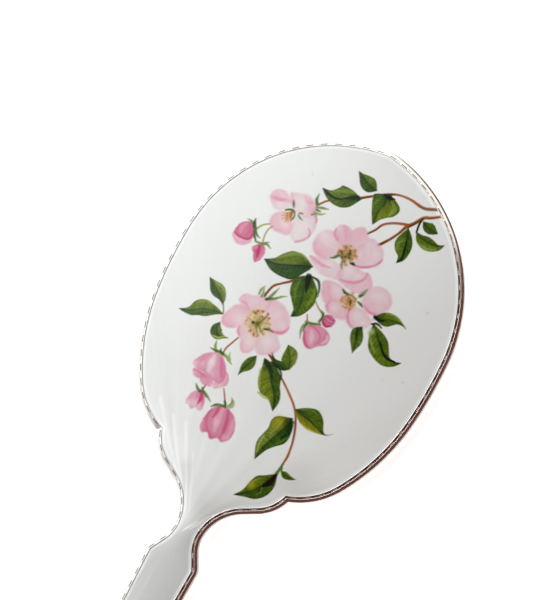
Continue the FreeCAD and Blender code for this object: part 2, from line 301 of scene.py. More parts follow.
def nearest_on(line, points):
    """For each point: distance to the line, place along it from 0 to 1, and side (left is positive)."""
    starts, ends = line[:-1], line[1:]
    steps = ends - starts
    lengths = np.maximum(np.hypot(steps[:, 0], steps[:, 1]), 1e-9)
    before = np.concatenate([[0.0], np.cumsum(lengths)])
    best = np.full(len(points), 1e9)
    place = np.zeros(len(points))
    side = np.zeros(len(points))
    for k in range(len(starts)):
        away = points - starts[k]
        t = np.clip((away @ steps[k]) / lengths[k] ** 2, 0.0, 1.0)
        gap = np.hypot(away[:, 0] - t * steps[k, 0], away[:, 1] - t * steps[k, 1])
        nearer = gap < best
        best = np.where(nearer, gap, best)
        place = np.where(nearer, before[k] + t * lengths[k], place)
        turn = steps[k, 0] * away[:, 1] - steps[k, 1] * away[:, 0]
        side = np.where(nearer, np.sign(turn), side)
    return best, place / before[-1], side


def inside(line, points):
    x, y = points[:, 0], points[:, 1]
    hit = np.zeros(len(points), bool)
    for (x1, y1), (x2, y2) in zip(line, np.roll(line, -1, axis=0)):
        if y1 != y2:
            crosses = (y1 > y) != (y2 > y)
            hit ^= crosses & (x < (x2 - x1) * (y - y1) / (y2 - y1) + x1)
    return hit


def ripple(points, scale, angle, seed):
    """Gentle unrepeating streaks from a few sine waves, between about -1 and 1."""
    c, s = math.cos(math.radians(angle)), math.sin(math.radians(angle))
    along = (points[:, 0] * c + points[:, 1] * s) / scale
    across = (points[:, 1] * c - points[:, 0] * s) / scale
    value = np.sin(across * 6.3 + 1.7 * np.sin(along * 0.9 + seed) + seed * 2.1)
    value += 0.6 * np.sin(across * 13.7 + 1.1 * np.sin(along * 1.7 + seed * 3.0))
    value += 0.5 * np.sin(along * 2.3 + 1.9 * np.sin(across * 1.3 + seed * 5.0))
    return value / 2.1


def pairs(numbers):
    """Points from x and y of each in turn."""
    return np.reshape(np.array(numbers, float), (-1, 2))


# Factors that shift the paints: petals and leaves come out deeper, wet pinks and wet greens change in hue.
PETAL_DEPTH = np.array([0.908, 0.922, 0.918])
LEAF_DEPTH = np.array([0.90, 0.85, 0.84])
BLUSH = np.array([0.962, 1.012, 0.98])
OLIVE = np.array([1.05, 1.0, 0.84])

# Paints. The two halves of every leaf are drawn towards one green, and keep only part of their own.
BLOOM = (230, 219, 217)
FLUSH = (226, 172, 188)
ANTHERS = ((176, 122, 66), (196, 146, 92), (128, 104, 56))
LEAF_GREEN = np.array([0.37, 0.44, 0.17])
LEAF_OWN = 0.78
LEAF_DARK = np.array([0.13, 0.20, 0.05])
LEAF_LIGHT = np.array([0.58, 0.66, 0.32])
VEIN_SPACING = 2.9
FEWEST_VEINS = 4
SIDE_MARGIN = 0.6


class Canvas:
    """Enamel colours laid over a set of points, one brush stroke at a time."""

    def __init__(self, points, ground):
        self.points = points
        self.colour = ground
        self.cover = np.zeros(len(points))
        self.wet = 0.0

    def near(self, line, margin):
        low, high = line.min(0) - margin, line.max(0) + margin
        within = (self.points > low) & (self.points < high)
        return np.nonzero(within.all(axis=1))[0]

    def lay(self, index, colour, alpha):
        alpha = np.clip(alpha, 0.0, 1.0)[:, None]
        self.colour[index] = self.colour[index] * (1.0 - alpha) + colour * alpha
        self.cover[index] = np.maximum(self.cover[index], alpha[:, 0])

    def stroke(self, points, width, colour, alpha=1.0, soft=0.35):
        """Brush stroke through the points; width is one number or one for each point."""
        line = curve_through(pairs(points), 6)
        widths = np.atleast_1d(np.array(width, float))
        index = self.near(line, widths.max() / 2 + soft + self.wet)
        if not len(index):
            return
        spots = self.points[index]
        gap, place, _ = nearest_on(line, spots)
        half = np.interp(place, np.linspace(0, 1, len(widths)), widths) / 2.0
        soft = soft + self.wet
        cover = smoothstep(-soft / 2, soft / 2, half - gap)
        grain = 1.0 + 0.05 * ripple(spots, 0.9, 37.0, half.mean() * 7.0)
        tint = np.array(colour) / 255.0
        if self.wet:
            tint = tint * (BLUSH if colour[0] > colour[1] else OLIVE)
        self.lay(index, np.clip(tint * grain[:, None], 0, 1), cover * alpha)

    def strokes(self, rows):
        for points, *how in rows:
            self.stroke(points, *how)

    def petal(self, outline, colour, edge, alpha=0.87, soft=1.5, rim=1.9, heart=None):
        """Translucent petal, deeper in colour towards its rim and paler at the heart."""
        outline = pairs(outline)
        line = curve_through(outline, 6, closed=True)
        index = self.near(line, soft)
        spots = self.points[index]
        gap, _, _ = nearest_on(np.vstack([line, line[:1]]), spots)
        seed = outline[0][0] + 0.37 * outline[0][1]
        depth = np.where(inside(line, spots), gap, -gap) + 0.16 * ripple(spots, 3.4, 15.0, seed)
        cover = smoothstep(-soft / 2, soft / 2, depth)
        patchy = 0.80 + 0.45 * ripple(spots, 6.5, 80.0, seed + 2.0)
        rimness = np.exp(-np.maximum(depth, 0.0) / rim) * np.clip(patchy, 0.25, 1.2)
        inner = np.array(colour) / 255.0 * PETAL_DEPTH
        outer = np.array(edge) / 255.0 * PETAL_DEPTH
        tone = inner + (outer - inner) * rimness[:, None]
        if heart is not None:
            spoke = spots - np.array(heart)
            far = np.hypot(spoke[:, 0], spoke[:, 1])
            turn = np.arctan2(spoke[:, 1], spoke[:, 0])
            vein = 0.6 * np.sin(turn * 13.0 + 1.6 * np.sin(turn * 5.0 + seed))
            vein = vein + 0.4 * np.sin(turn * 29.0 + far * 0.22)
            streak = (vein * smoothstep(2.0, 6.0, far))[:, None]
            tone = tone * (1.0 - np.array([0.006, 0.022, 0.016]) * streak)
            pale = np.exp(-(far / 4.5) ** 2)[:, None] * 0.5
            tone = tone + (np.array([0.90, 0.88, 0.87]) - tone) * pale
        wash = 1.0 + 0.010 * ripple(spots, 4.2, 60.0, outline[0][0])
        self.lay(index, np.clip(tone * wash[:, None], 0, 1), cover * alpha)

    def petals(self, rows, heart=None):
        for outline, *how in rows:
            self.petal(outline, *how, heart=heart)

    def leaf(self, mid, left, right, left_colour, right_colour, base, tip=0.4, rib=0.62):
        """Leaf on a curved midrib. Widths are given at even steps between stalk and tip."""
        mid = pairs(mid)
        line = curve_through(mid, 7)
        reach = max(max(left), max(right))
        index = self.near(line, reach + SIDE_MARGIN)
        spots = self.points[index]
        gap, place, side = nearest_on(line, spots)
        steps = np.linspace(0, 1, len(left) + 2)
        fine = np.linspace(0, 1, 60)
        shape = {}
        for key, widths in (("left", left), ("right", right)):
            knots = np.column_stack([steps, [0.15] + list(widths) + [0.0]])
            smooth = curve_through(knots, 10)
            shape[key] = np.interp(fine, smooth[:, 0], np.maximum(smooth[:, 1], 0.0))
        half = [np.interp(place, fine, shape[key]) for key in ("left", "right")]
        half = np.where(side > 0, half[0], half[1])
        cover = smoothstep(-0.22, 0.22, half - gap)
        across = gap / np.maximum(half, 0.3)
        left_tone = LEAF_GREEN + LEAF_OWN * (np.array(left_colour) / 255.0 - LEAF_GREEN)
        right_tone = LEAF_GREEN + LEAF_OWN * (np.array(right_colour) / 255.0 - LEAF_GREEN)
        leftness = smoothstep(-0.30, 0.30, np.where(side > 0, gap, -gap))[:, None]
        tone = right_tone + (left_tone - right_tone) * leftness
        length = np.hypot(*(line[-1] - line[0]))
        veins = max(FEWEST_VEINS, int(length / VEIN_SPACING))
        phase = (place - 0.42 * across * (reach / length)) * veins
        phase = phase + 0.15 * ripple(spots, 3.1, 50.0, mid[0][0])
        ridge = np.abs((phase + 0.25 * (side > 0)) % 1.0 - 0.5) * 2.0
        vein = smoothstep(0.72, 1.0, ridge) * smoothstep(0.0, 0.15, across) * smoothstep(1.0, 0.6, across)
        glow = smoothstep(0.25, 0.6, across) * smoothstep(1.0, 0.75, across)
        glow = glow * smoothstep(0.0, 0.5, 1.0 - ridge)
        brushed = np.sin(phase * 13.0 + 1.8 * np.sin(place * 7.0 + mid[0][0])) * smoothstep(0.05, 0.4, across)
        tone = tone * (1.0 + 0.085 * brushed)[:, None]
        tone = tone + (LEAF_LIGHT - tone) * (0.15 * glow)[:, None]
        tone = tone + (LEAF_DARK - tone) * (0.11 * vein)[:, None]
        shade = 0.86 * base * np.exp(-(place / 0.22) ** 2) * np.exp(-(across / 0.75) ** 2)
        shade = np.maximum(shade, tip * smoothstep(0.80, 1.0, place))
        shade = np.maximum(shade, 0.84 * rib * np.exp(-(gap / (0.16 + 0.010 * length)) ** 2))
        tone = tone + (LEAF_DARK - tone) * np.clip(shade, 0, 1)[:, None]
        rim = smoothstep(0.80, 1.0, across) * 0.30
        tone = tone + (LEAF_DARK - tone) * rim[:, None] * np.where(side > 0, 1.0, 0.5)[:, None]
        wash = 1.0 + 0.07 * ripple(spots, 1.5, 25.0 + 9.0 * mid[0][0], mid[0][1])
        wash = wash + 0.10 * ripple(spots, 4.6, 70.0 + 5.0 * mid[0][0], mid[0][0])
        self.lay(index, np.clip(tone * LEAF_DEPTH * wash[:, None], 0, 1), cover)

    def dabs(self, colour, spots):
        """Row of soft dabs, each given as (x, y, radius, strength)."""
        for x, y, radius, alpha in spots:
            self.spot((x, y), radius, colour, alpha)

    def stamens(self, centre, count, short, long, stretch=1.0, tones=ANTHERS):
        """Dense tuft of threads about a centre, some long and some short, with a dab at the end of each."""
        for k in range(count):
            bearing = math.radians(137.5 * k)
            reach = short + (long - short) * abs(math.sin(1.7 * k + 0.4))
            dx, dy = reach * math.cos(bearing), reach * stretch * math.sin(bearing)
            bend = 0.35 * math.sin(2.3 * k)
            middle = (centre[0] + 0.5 * dx + bend, centre[1] + 0.5 * dy - bend)
            end = (centre[0] + dx, centre[1] + dy)
            tone = tones[k % len(tones)]
            self.stroke([centre, middle, end], [0.6, 0.45, 0.5], tone, 0.55, 0.5)
            self.spot(end, 0.42, tones[(k + 1) % len(tones)], 0.6)

    def spot(self, centre, radius, colour, alpha):
        """Soft dab of colour."""
        index = self.near(np.array([centre, centre], float), radius * 2.2)
        gap = np.hypot(*(self.points[index] - np.array(centre)).T)
        self.lay(index, np.array(colour) / 255.0, alpha * np.exp(-(gap / radius) ** 2))


TWIG = (150, 92, 58)
TWIG_DARK = (92, 58, 40)
TWIG_LIGHT = (190, 130, 95)
STALK = (140, 148, 88)
SEPAL = (92, 122, 78)
SEPAL_DARK = (48, 74, 46)
SEPAL_PALE = (140, 162, 112)


def paint_twigs(c):
    c.strokes([
        ((28.3, 125.6, 22.9, 123.4, 15.7, 124, 8.6, 122.3, -1.4, 115.4, -9, 110, -13.6, 107.3, -17, 102.9),
         (1.3, 1.3, 0.9, 1, 1, 0.9, 0.8, 0.9), TWIG),
        ((28, 125.4, 25.4, 124.4, 22.7, 123.2, 21.6, 123.3), (1, 1, 1.1, 0.6), (120, 105, 84), 0.75),
        ((20.5, 124, 15.7, 124.3, 11, 123.6), (0.3, 0.5, 0.3), TWIG_LIGHT, 0.7),
        ((9.6, 122.7, 8.2, 121.9, 5, 119.8), (0.7, 1.3, 0.5), TWIG_DARK, 0.7),
        ((1.5, 117.4, -1.4, 115.1, -3.2, 114), (0.6, 0.8, 1.2), TWIG_DARK, 0.75),
        ((30.9, 123.7, 27.8, 121.4, 25, 119.9, 22.6, 116.2, 20.4, 113.4), (1, 1.2, 1.5, 1.4, 1.6), TWIG),
        ((30.4, 123.3, 27.2, 121, 25.3, 119.8), (0.2, 0.4, 0.3), TWIG_DARK, 0.8),
        ((24.6, 119, 22.5, 115.6, 20.2, 112.6), (0.4, 0.7, 1.1), TWIG_DARK, 0.85),
        ((30.2, 123.6, 26.8, 121.4, 24.4, 119.6), (0.3, 0.4, 0.3), TWIG_LIGHT, 0.6),
        ((20.6, 114.2, 17.6, 113.2, 14.2, 111.6, 11.2, 109.2, 9.6, 106, 7.4, 103),
         (1.2, 1.1, 1, 1, 0.9, 0.8), TWIG, 1),
        ((11, 108.6, 9.5, 105.8, 7.5, 103), (0.3, 0.5, 0.7), TWIG_DARK, 0.7),
        ((19, 113.3, 15, 111.8, 11.8, 109.6), (0.3, 0.4, 0.3), TWIG_LIGHT, 0.6),
        ((20.2, 113.2, 18.8, 109.4, 16.6, 105.2, 14, 101.4), (1.3, 1, 1.1, 1.2), TWIG, 1),
        ((16, 104.6, 14.6, 102, 13.4, 101), (0.5, 0.9, 1), TWIG_DARK, 0.75),
        ((19.9, 112.4, 18.5, 108.4, 16.8, 105), (0.5, 0.4, 0.3), TWIG_DARK, 0.6),
        ((-9.4, 72.8, -11.4, 70.2, -14, 67.9, -16.4, 65.6, -17.4, 62.6, -17.7, 59.4),
         (0.8, 1.1, 0.8, 1.1, 1, 1), TWIG, 1),
        ((-10.2, 71.6, -13.8, 68.4, -16.6, 65), (0.3, 0.5, 0.3), TWIG_DARK, 0.7),
        ((-17, 64.6, -17.8, 61.6, -17.9, 59.8), (0.4, 0.6, 0.8), TWIG_DARK, 0.8),
        ((-4.6, 39.4, -2.4, 38.4, -0.6, 36.9), (0.9, 1.3, 1.2), (128, 60, 34), 1),
        ((3.6, 33.9, 7, 31.6, 11, 28.6, 14.6, 25.6, 17.4, 22, 19.6, 17.4, 21.4, 11.8, 22.2, 6.4, 22.1, 2),
         (0.8, 0.9, 1, 0.9, 0.9, 1, 0.9, 0.9, 0.8), TWIG, 1),
        ((7.4, 31.2, 11, 28.3, 13.8, 26), (0.3, 0.6, 0.3), (196, 140, 104), 0.75),
        ((17.6, 21.4, 19.8, 16.6, 21.4, 11), (0.3, 0.4, 0.3), TWIG_DARK, 0.75),
        ((21.6, 10, 22.4, 6, 22.2, 2.4), (0.7, 0.8, 0.7), (160, 84, 44), 0.8),
        ((22.1, 2.6, 22, 0.2, 21.7, -3), (0.8, 1.1, 1.5), (96, 120, 58), 1),
        ((22, 1.8, 22.6, 0.2, 23.2, -1), (0.7, 0.9, 0.6), (90, 112, 52), 1),
        ((2.1, 67.9, 4.2, 66.2, 6.4, 65, 7.4, 64.4), (0.5, 0.6, 0.7, 0.8), (176, 128, 92), 1),
        ((1.4, 61.6, 2.4, 59.8, 3.2, 58.6), (0.5, 0.6, 0.8), (170, 110, 76), 1),
        ((-19.2, 39.4, -20.4, 36.4, -21.6, 33.2, -21.6, 30.6), (0.6, 0.7, 0.7, 0.7), TWIG, 1),
        ((-21.8, 15.7, -21.9, 14, -22.1, 12.4), (0.5, 0.7, 0.7), TWIG, 1),
        ((-14.4, 18, -12.8, 15.6, -11.2, 13.2), (0.5, 0.7, 0.6), (168, 112, 80), 1),
        ((24.7, 119.4, 24.5, 116.4, 25, 113.2), (0.7, 0.9, 0.8), (50, 66, 34), 1),
        ((-31.4, 48.6, -30.2, 46.8, -29.6, 45.2), (0.6, 0.5, 0.6), (112, 132, 74), 1),
    ])


def paint_leaves(c):
    deep, fresh = (54, 90, 38), (120, 150, 70)
    c.leaf((2.4, 120.6, -1, 121.4, -4.6, 122.8, -8.2, 124.4),
           (2.8, 3.4, 2.8, 1.4), (2.4, 3, 2.2, 0.9), deep, (98, 132, 62), base=0.3)
    c.leaf((-1.6, 114.4, -5.6, 112.8, -9.6, 110.4, -13.8, 109.8, -18.2, 111),
           (3, 3.7, 2.9, 1.5), (3.2, 5.6, 4.4, 1.9), (76, 112, 44), (106, 138, 58), base=0.9, tip=0.8)
    c.leaf((8.2, 122, 8, 118, 7.2, 113, 7.4, 107.2),
           (6.2, 6.3, 4.4, 1.9), (5.6, 5.4, 3.3, 1.6), (122, 148, 62), (82, 118, 50), base=0.95, tip=0.5)
    c.leaf((25.4, 118.4, 28, 117.2, 30.6, 117, 33.2, 116.8),
           (1.6, 2.5, 2.3, 1.2), (1.4, 2.1, 2.1, 1.4), (88, 122, 58), (62, 94, 46), base=0.7)
    c.leaf((24.9, 113.2, 28.2, 111.8, 32.2, 111.6, 35.6, 112.2, 37.9, 114),
           (1.4, 2.3, 1.9, 0.7), (2.2, 3.3, 3.1, 1.8), (78, 114, 50), fresh, base=0.6, tip=0.7)
    c.leaf((21.3, 113, 22.9, 108.4, 24.2, 104, 24.7, 100.8, 23.6, 97.8),
           (1.9, 2.7, 2.4, 1.3), (3, 4.5, 4, 2), (66, 102, 44), (96, 130, 62), base=0.5, tip=0.5)
    c.leaf((-6, 80.2, -10.4, 78.4, -15.2, 76, -20.4, 73.9, -25.5, 73.4),
           (3.6, 5.9, 5.1, 3), (4.2, 5.9, 4.6, 2.2), (58, 92, 40), (112, 142, 60), base=0.7, tip=0.5,
           rib=0.85)
    c.leaf((-4.9, 76.8, -4.9, 71, -3.4, 65.6, -3, 61, -4.3, 57.4),
           (5, 5.9, 5.2, 2.9), (4.9, 5.6, 4.4, 2.1), (92, 128, 46), (78, 114, 44), base=0.95, tip=0.8)
    c.leaf((26.3, 73.8, 30.4, 75.2, 35, 76.6, 38, 76.4, 40.4, 75.6),
           (2.2, 2.8, 2, 0.8), (2.4, 3, 1.7, 0.4), fresh, (80, 118, 52), base=0.95)
    c.leaf((27.3, 71.2, 31, 67.6, 35, 63.8, 38.6, 61.4, 42, 61.3, 45.3, 62.4),
           (2.4, 3.6, 2.5, 0.6), (3.2, 4.9, 4.4, 2.7), (86, 120, 48), (100, 134, 56), base=0.5, tip=0.7,
           rib=0.9)
    c.leaf((23.8, 68, 23.5, 64.2, 24.7, 60.2, 25.4, 56.2),
           (2.2, 2.8, 2.5, 1.1), (2.4, 2.6, 2.2, 1.2), (92, 124, 66), (100, 130, 76), base=0.9)
    c.leaf((-31.4, 48.5, -33.6, 50.8, -37.2, 53.2, -41.8, 56),
           (1.2, 2.5, 2.6, 1.4), (1.9, 3.1, 2.9, 1.4), (68, 102, 50), fresh, base=0.3)
    c.leaf((-29.6, 45, -33.4, 44.6, -38.2, 42.8, -42.2, 40, -47, 38.2),
           (1.9, 3, 2.4, 1.2), (2, 3.9, 3.5, 1.1), (86, 120, 56), (116, 146, 64), base=0.4, tip=0.95)
    c.leaf((-29, 41.5, -28.8, 38.6, -27.4, 36.9, -25, 36.8, -22.7, 37.3),
           (1.4, 2.3, 1.7, 0.5), (1.9, 2.9, 2.2, 0.7), fresh, (60, 92, 44), base=0.2, tip=0.2, rib=0.5)
    c.leaf((5.8, 38, 4.4, 41, 2.8, 43.6, 0.4, 46.9),
           (2.6, 3.5, 2.7, 1.3), (1.9, 2.9, 3.4, 2.4), (96, 130, 58), (132, 158, 84), base=0.3, tip=0.1,
           rib=0.6)
    c.leaf((-3.8, 40.6, -1.2, 38.2, 2.2, 37.4, 5.8, 37.8),
           (0.4, 1.3, 1.9, 1.4), (0.5, 1.2, 1.5, 1.2), (62, 94, 42), (44, 74, 34), base=0.9, rib=0.3)
    c.leaf((-5.5, 37.2, -1.2, 33.2, 2.4, 28.8, 5.6, 25, 8, 19.2),
           (3.2, 4.2, 3, 2.2), (3.2, 5.4, 5.2, 2.2), (66, 98, 42), (128, 150, 62), base=0.95, tip=0.5)
    c.leaf((-8.9, 36.4, -10, 32.2, -11.4, 28.6, -12, 25.5),
           (1.6, 2.3, 1.9, 0.8), (1.7, 2.2, 1.8, 0.7), (98, 132, 62), (78, 112, 52), base=0.3, tip=0.8)
    c.leaf((15.8, 24.6, 20, 23.8, 25, 22.8, 29.4, 21.4, 32, 21.3, 34.4, 22.9),
           (3.9, 5.6, 3.8, 0.45), (2.7, 3.4, 2.3, 0.45), (82, 116, 54), (158, 162, 62), base=0.6, tip=0.6,
           rib=0.7)
    c.leaf((16.6, 20.8, 15.2, 15.4, 13.2, 9.6, 11.4, 4.4, 10.8, -1.8),
           (2.8, 4.6, 4.8, 3.2, 2.1, 1.1), (5, 5.9, 4.4, 4, 3.5, 1.9), (60, 94, 36), (128, 154, 76),
           base=0.9, tip=0.2, rib=0.5)
    c.leaf((22.9, -0.8, 25.2, -1.1, 27.6, -1.3, 29.9, -1),
           (0.9, 1, 0.7, 0.4), (1.5, 1.8, 1.3, 0.6), (104, 128, 48), (64, 102, 36), base=0.5, rib=0.3)
    c.leaf((22, -2.6, 20.2, -8, 16.8, -12.8, 13.2, -16.4, 10.1, -18.9),
           (2.8, 4.2, 3.8, 1.6), (3.2, 4.8, 3.6, 1.3), (66, 100, 40), (104, 130, 52), base=0.95, tip=0.9)


def paint_leaf_lights(c):
    """Paler and yellower dabs, and the darker accents, on the larger leaves."""
    c.spot((12.2, 17), 2, (176, 156, 48), 0.8)
    c.spot((11.2, 14.2), 1.3, (170, 150, 60), 0.6)
    c.strokes([
        ((13.6, 19, 12.8, 14.4, 11.4, 10.8), (0.4, 0.9, 0.4), (150, 168, 84), 0.6),
        ((9.6, 9, 9.4, 5.2, 10.2, 1.4), (0.7, 0.8, 0.3), (158, 180, 120), 0.6),
        ((17.4, 19.4, 17.9, 15, 16.4, 11), (1.4, 2.2, 0.8), (30, 52, 22), 0.65),
        ((19, 13.4, 16.8, 9.8, 14.2, 6), (0.5, 0.8, 0.4), (84, 122, 50), 0.7),
    ])
    c.spot((15, -11.6), 1.7, (168, 158, 52), 0.75)
    c.strokes([
        ((16.6, -7.6, 14.6, -10.2, 14, -13.2), (0.4, 0.7, 0.3), (152, 162, 84), 0.6),
        ((21.8, -3.8, 20.8, -7.4, 18.4, -10.6), (1.6, 2.6, 0.8), (20, 36, 18), 0.75),
        ((18.6, -10, 19.6, -12.4, 18.4, -14.4), (0.3, 0.6, 0.3), (130, 152, 90), 0.55),
    ])
    c.spot((28.2, 68.2), 1.5, (186, 196, 150), 0.75)
    c.strokes([
        ((27.4, 67.4, 29.8, 64.4, 33.4, 61), (0.7, 1.1, 0.5), (142, 164, 88), 0.6),
        ((26.8, 70.8, 28.6, 71.9, 31.2, 71.3), (0.8, 1.1, 0.6), (48, 58, 34), 0.85),
        ((33.4, 66, 36, 63, 39, 61.4, 43.2, 61.6), (0.5, 1, 1.2, 0.5), (24, 42, 20), 0.85),
        ((22.4, 66.6, 23.2, 64.2, 24.6, 61.6), (0.9, 1.1, 0.4), (38, 58, 34), 0.75),
        ((-1.2, 23.4, 1.6, 23, 4.6, 23), (0.8, 1.4, 0.6), (146, 162, 74), 0.6),
        ((-5, 32.6, -3.6, 29, -1.6, 25.4), (0.5, 1.1, 0.6), (150, 168, 80), 0.65),
        ((-4.6, 36.2, -1.4, 34.4, 1.4, 31.2), (1.6, 1.9, 0.6), (38, 58, 26), 0.7),
        ((-2.4, 37.2, 1.4, 36.4, 3.8, 34.6, 4.6, 32.4), (0.4, 0.7, 0.8, 0.3), (24, 40, 22), 0.8),
        ((20.6, 20.6, 24.4, 19.9, 28.4, 20.2), (0.5, 1, 0.4), (182, 180, 78), 0.7),
        ((18.4, 25.8, 21.4, 27.6, 25, 27.2), (0.5, 1, 0.4), (112, 142, 76), 0.55),
        ((-8.6, 81.6, -12.6, 82.4, -16.6, 80.4, -20.4, 76.6), (0.5, 1.4, 1.4, 0.5), (132, 158, 72), 0.6),
        ((-7, 78.6, -9.8, 75.4, -13.4, 72.8, -18.4, 71.4), (1.2, 1.9, 1.7, 0.6), (44, 76, 34), 0.6),
        ((-5.6, 75.8, -4.4, 72.4, -3.4, 69.2), (2.6, 1.9, 0.5), (24, 38, 18), 0.7),
        ((-4, 76.4, -1.2, 76, 0.6, 73.6, 1.8, 70), (0.8, 1.2, 0.9, 0.3), (44, 70, 36), 0.85),
        ((-0.8, 72.6, 0.2, 68.4, -0.6, 64.4), (0.6, 1.5, 0.5), (120, 150, 64), 0.6),
        ((-8, 73, -7.8, 68.6, -6, 64.2), (0.5, 1.1, 0.4), (112, 144, 66), 0.5),
        ((10, 119.6, 12.4, 117.2, 11.4, 113.4), (0.7, 1.9, 0.6), (142, 164, 76), 0.55),
        ((5.4, 118.8, 4, 116, 4.4, 113), (0.5, 1.2, 0.4), (104, 138, 70), 0.5),
        ((6.2, 120.8, 8.2, 120.4, 10.6, 121), (0.9, 1.7, 0.6), (26, 36, 18), 0.8),
        ((-5, 115.6, -9, 114.4, -12.6, 112.4), (0.6, 1.7, 0.6), (126, 154, 72), 0.5),
        ((-3.2, 114.6, -5.6, 113, -8.4, 111.2), (1.6, 1.4, 0.5), (28, 46, 22), 0.75),
        ((-8.6, 110.6, -12.2, 109.7, -17.6, 110.9), (0.6, 1.1, 0.6), (26, 46, 26), 0.8),
        ((-34.6, 46.4, -38.2, 46.6, -41.4, 44), (0.4, 1.2, 0.5), (136, 162, 78), 0.6),
        ((-33.8, 43.4, -37.6, 41.4, -41, 38.8, -45.6, 38.3), (0.5, 1.1, 1.1, 0.7), (46, 74, 38), 0.7),
        ((-33, 53.4, -35.6, 54.9, -39.4, 55.5), (0.5, 1, 0.4), (148, 174, 96), 0.65),
        ((-35.2, 51, -37.6, 51.6, -39.4, 53.4), (0.5, 1.5, 0.5), (46, 80, 40), 0.6),
        ((-29, 35.2, -26.6, 35.4, -24.6, 37, -22.8, 37.3), (0.6, 1.1, 0.8, 0.3), (158, 182, 96), 0.8),
        ((1.2, 45.6, 3, 43, 5.4, 40.6), (0.4, 1.4, 0.4), (72, 106, 48), 0.6),
        ((30, 77.6, 33.6, 78.4, 37.2, 77.4), (0.4, 0.9, 0.3), (142, 168, 92), 0.6),
        ((26.6, 74, 28.6, 73.6, 31, 74.6), (1.6, 1.4, 0.4), (32, 44, 28), 0.85),
        ((22, 108, 20.6, 105.6, 21.4, 102.6), (0.5, 1.4, 0.5), (120, 150, 84), 0.5),
        ((23.2, 108, 24.2, 104, 24.8, 100.8, 23.8, 98.4), (0.5, 0.9, 0.9, 0.4), (26, 46, 24), 0.8),
        ((27.4, 109.6, 31.4, 108.9, 35.2, 110.4), (0.4, 1.1, 0.4), (142, 168, 92), 0.6),
    ])


PINK = (238, 196, 207)
PALE = (238, 214, 218)
ROSE = (229, 160, 182)
DEEP = (217, 118, 152)


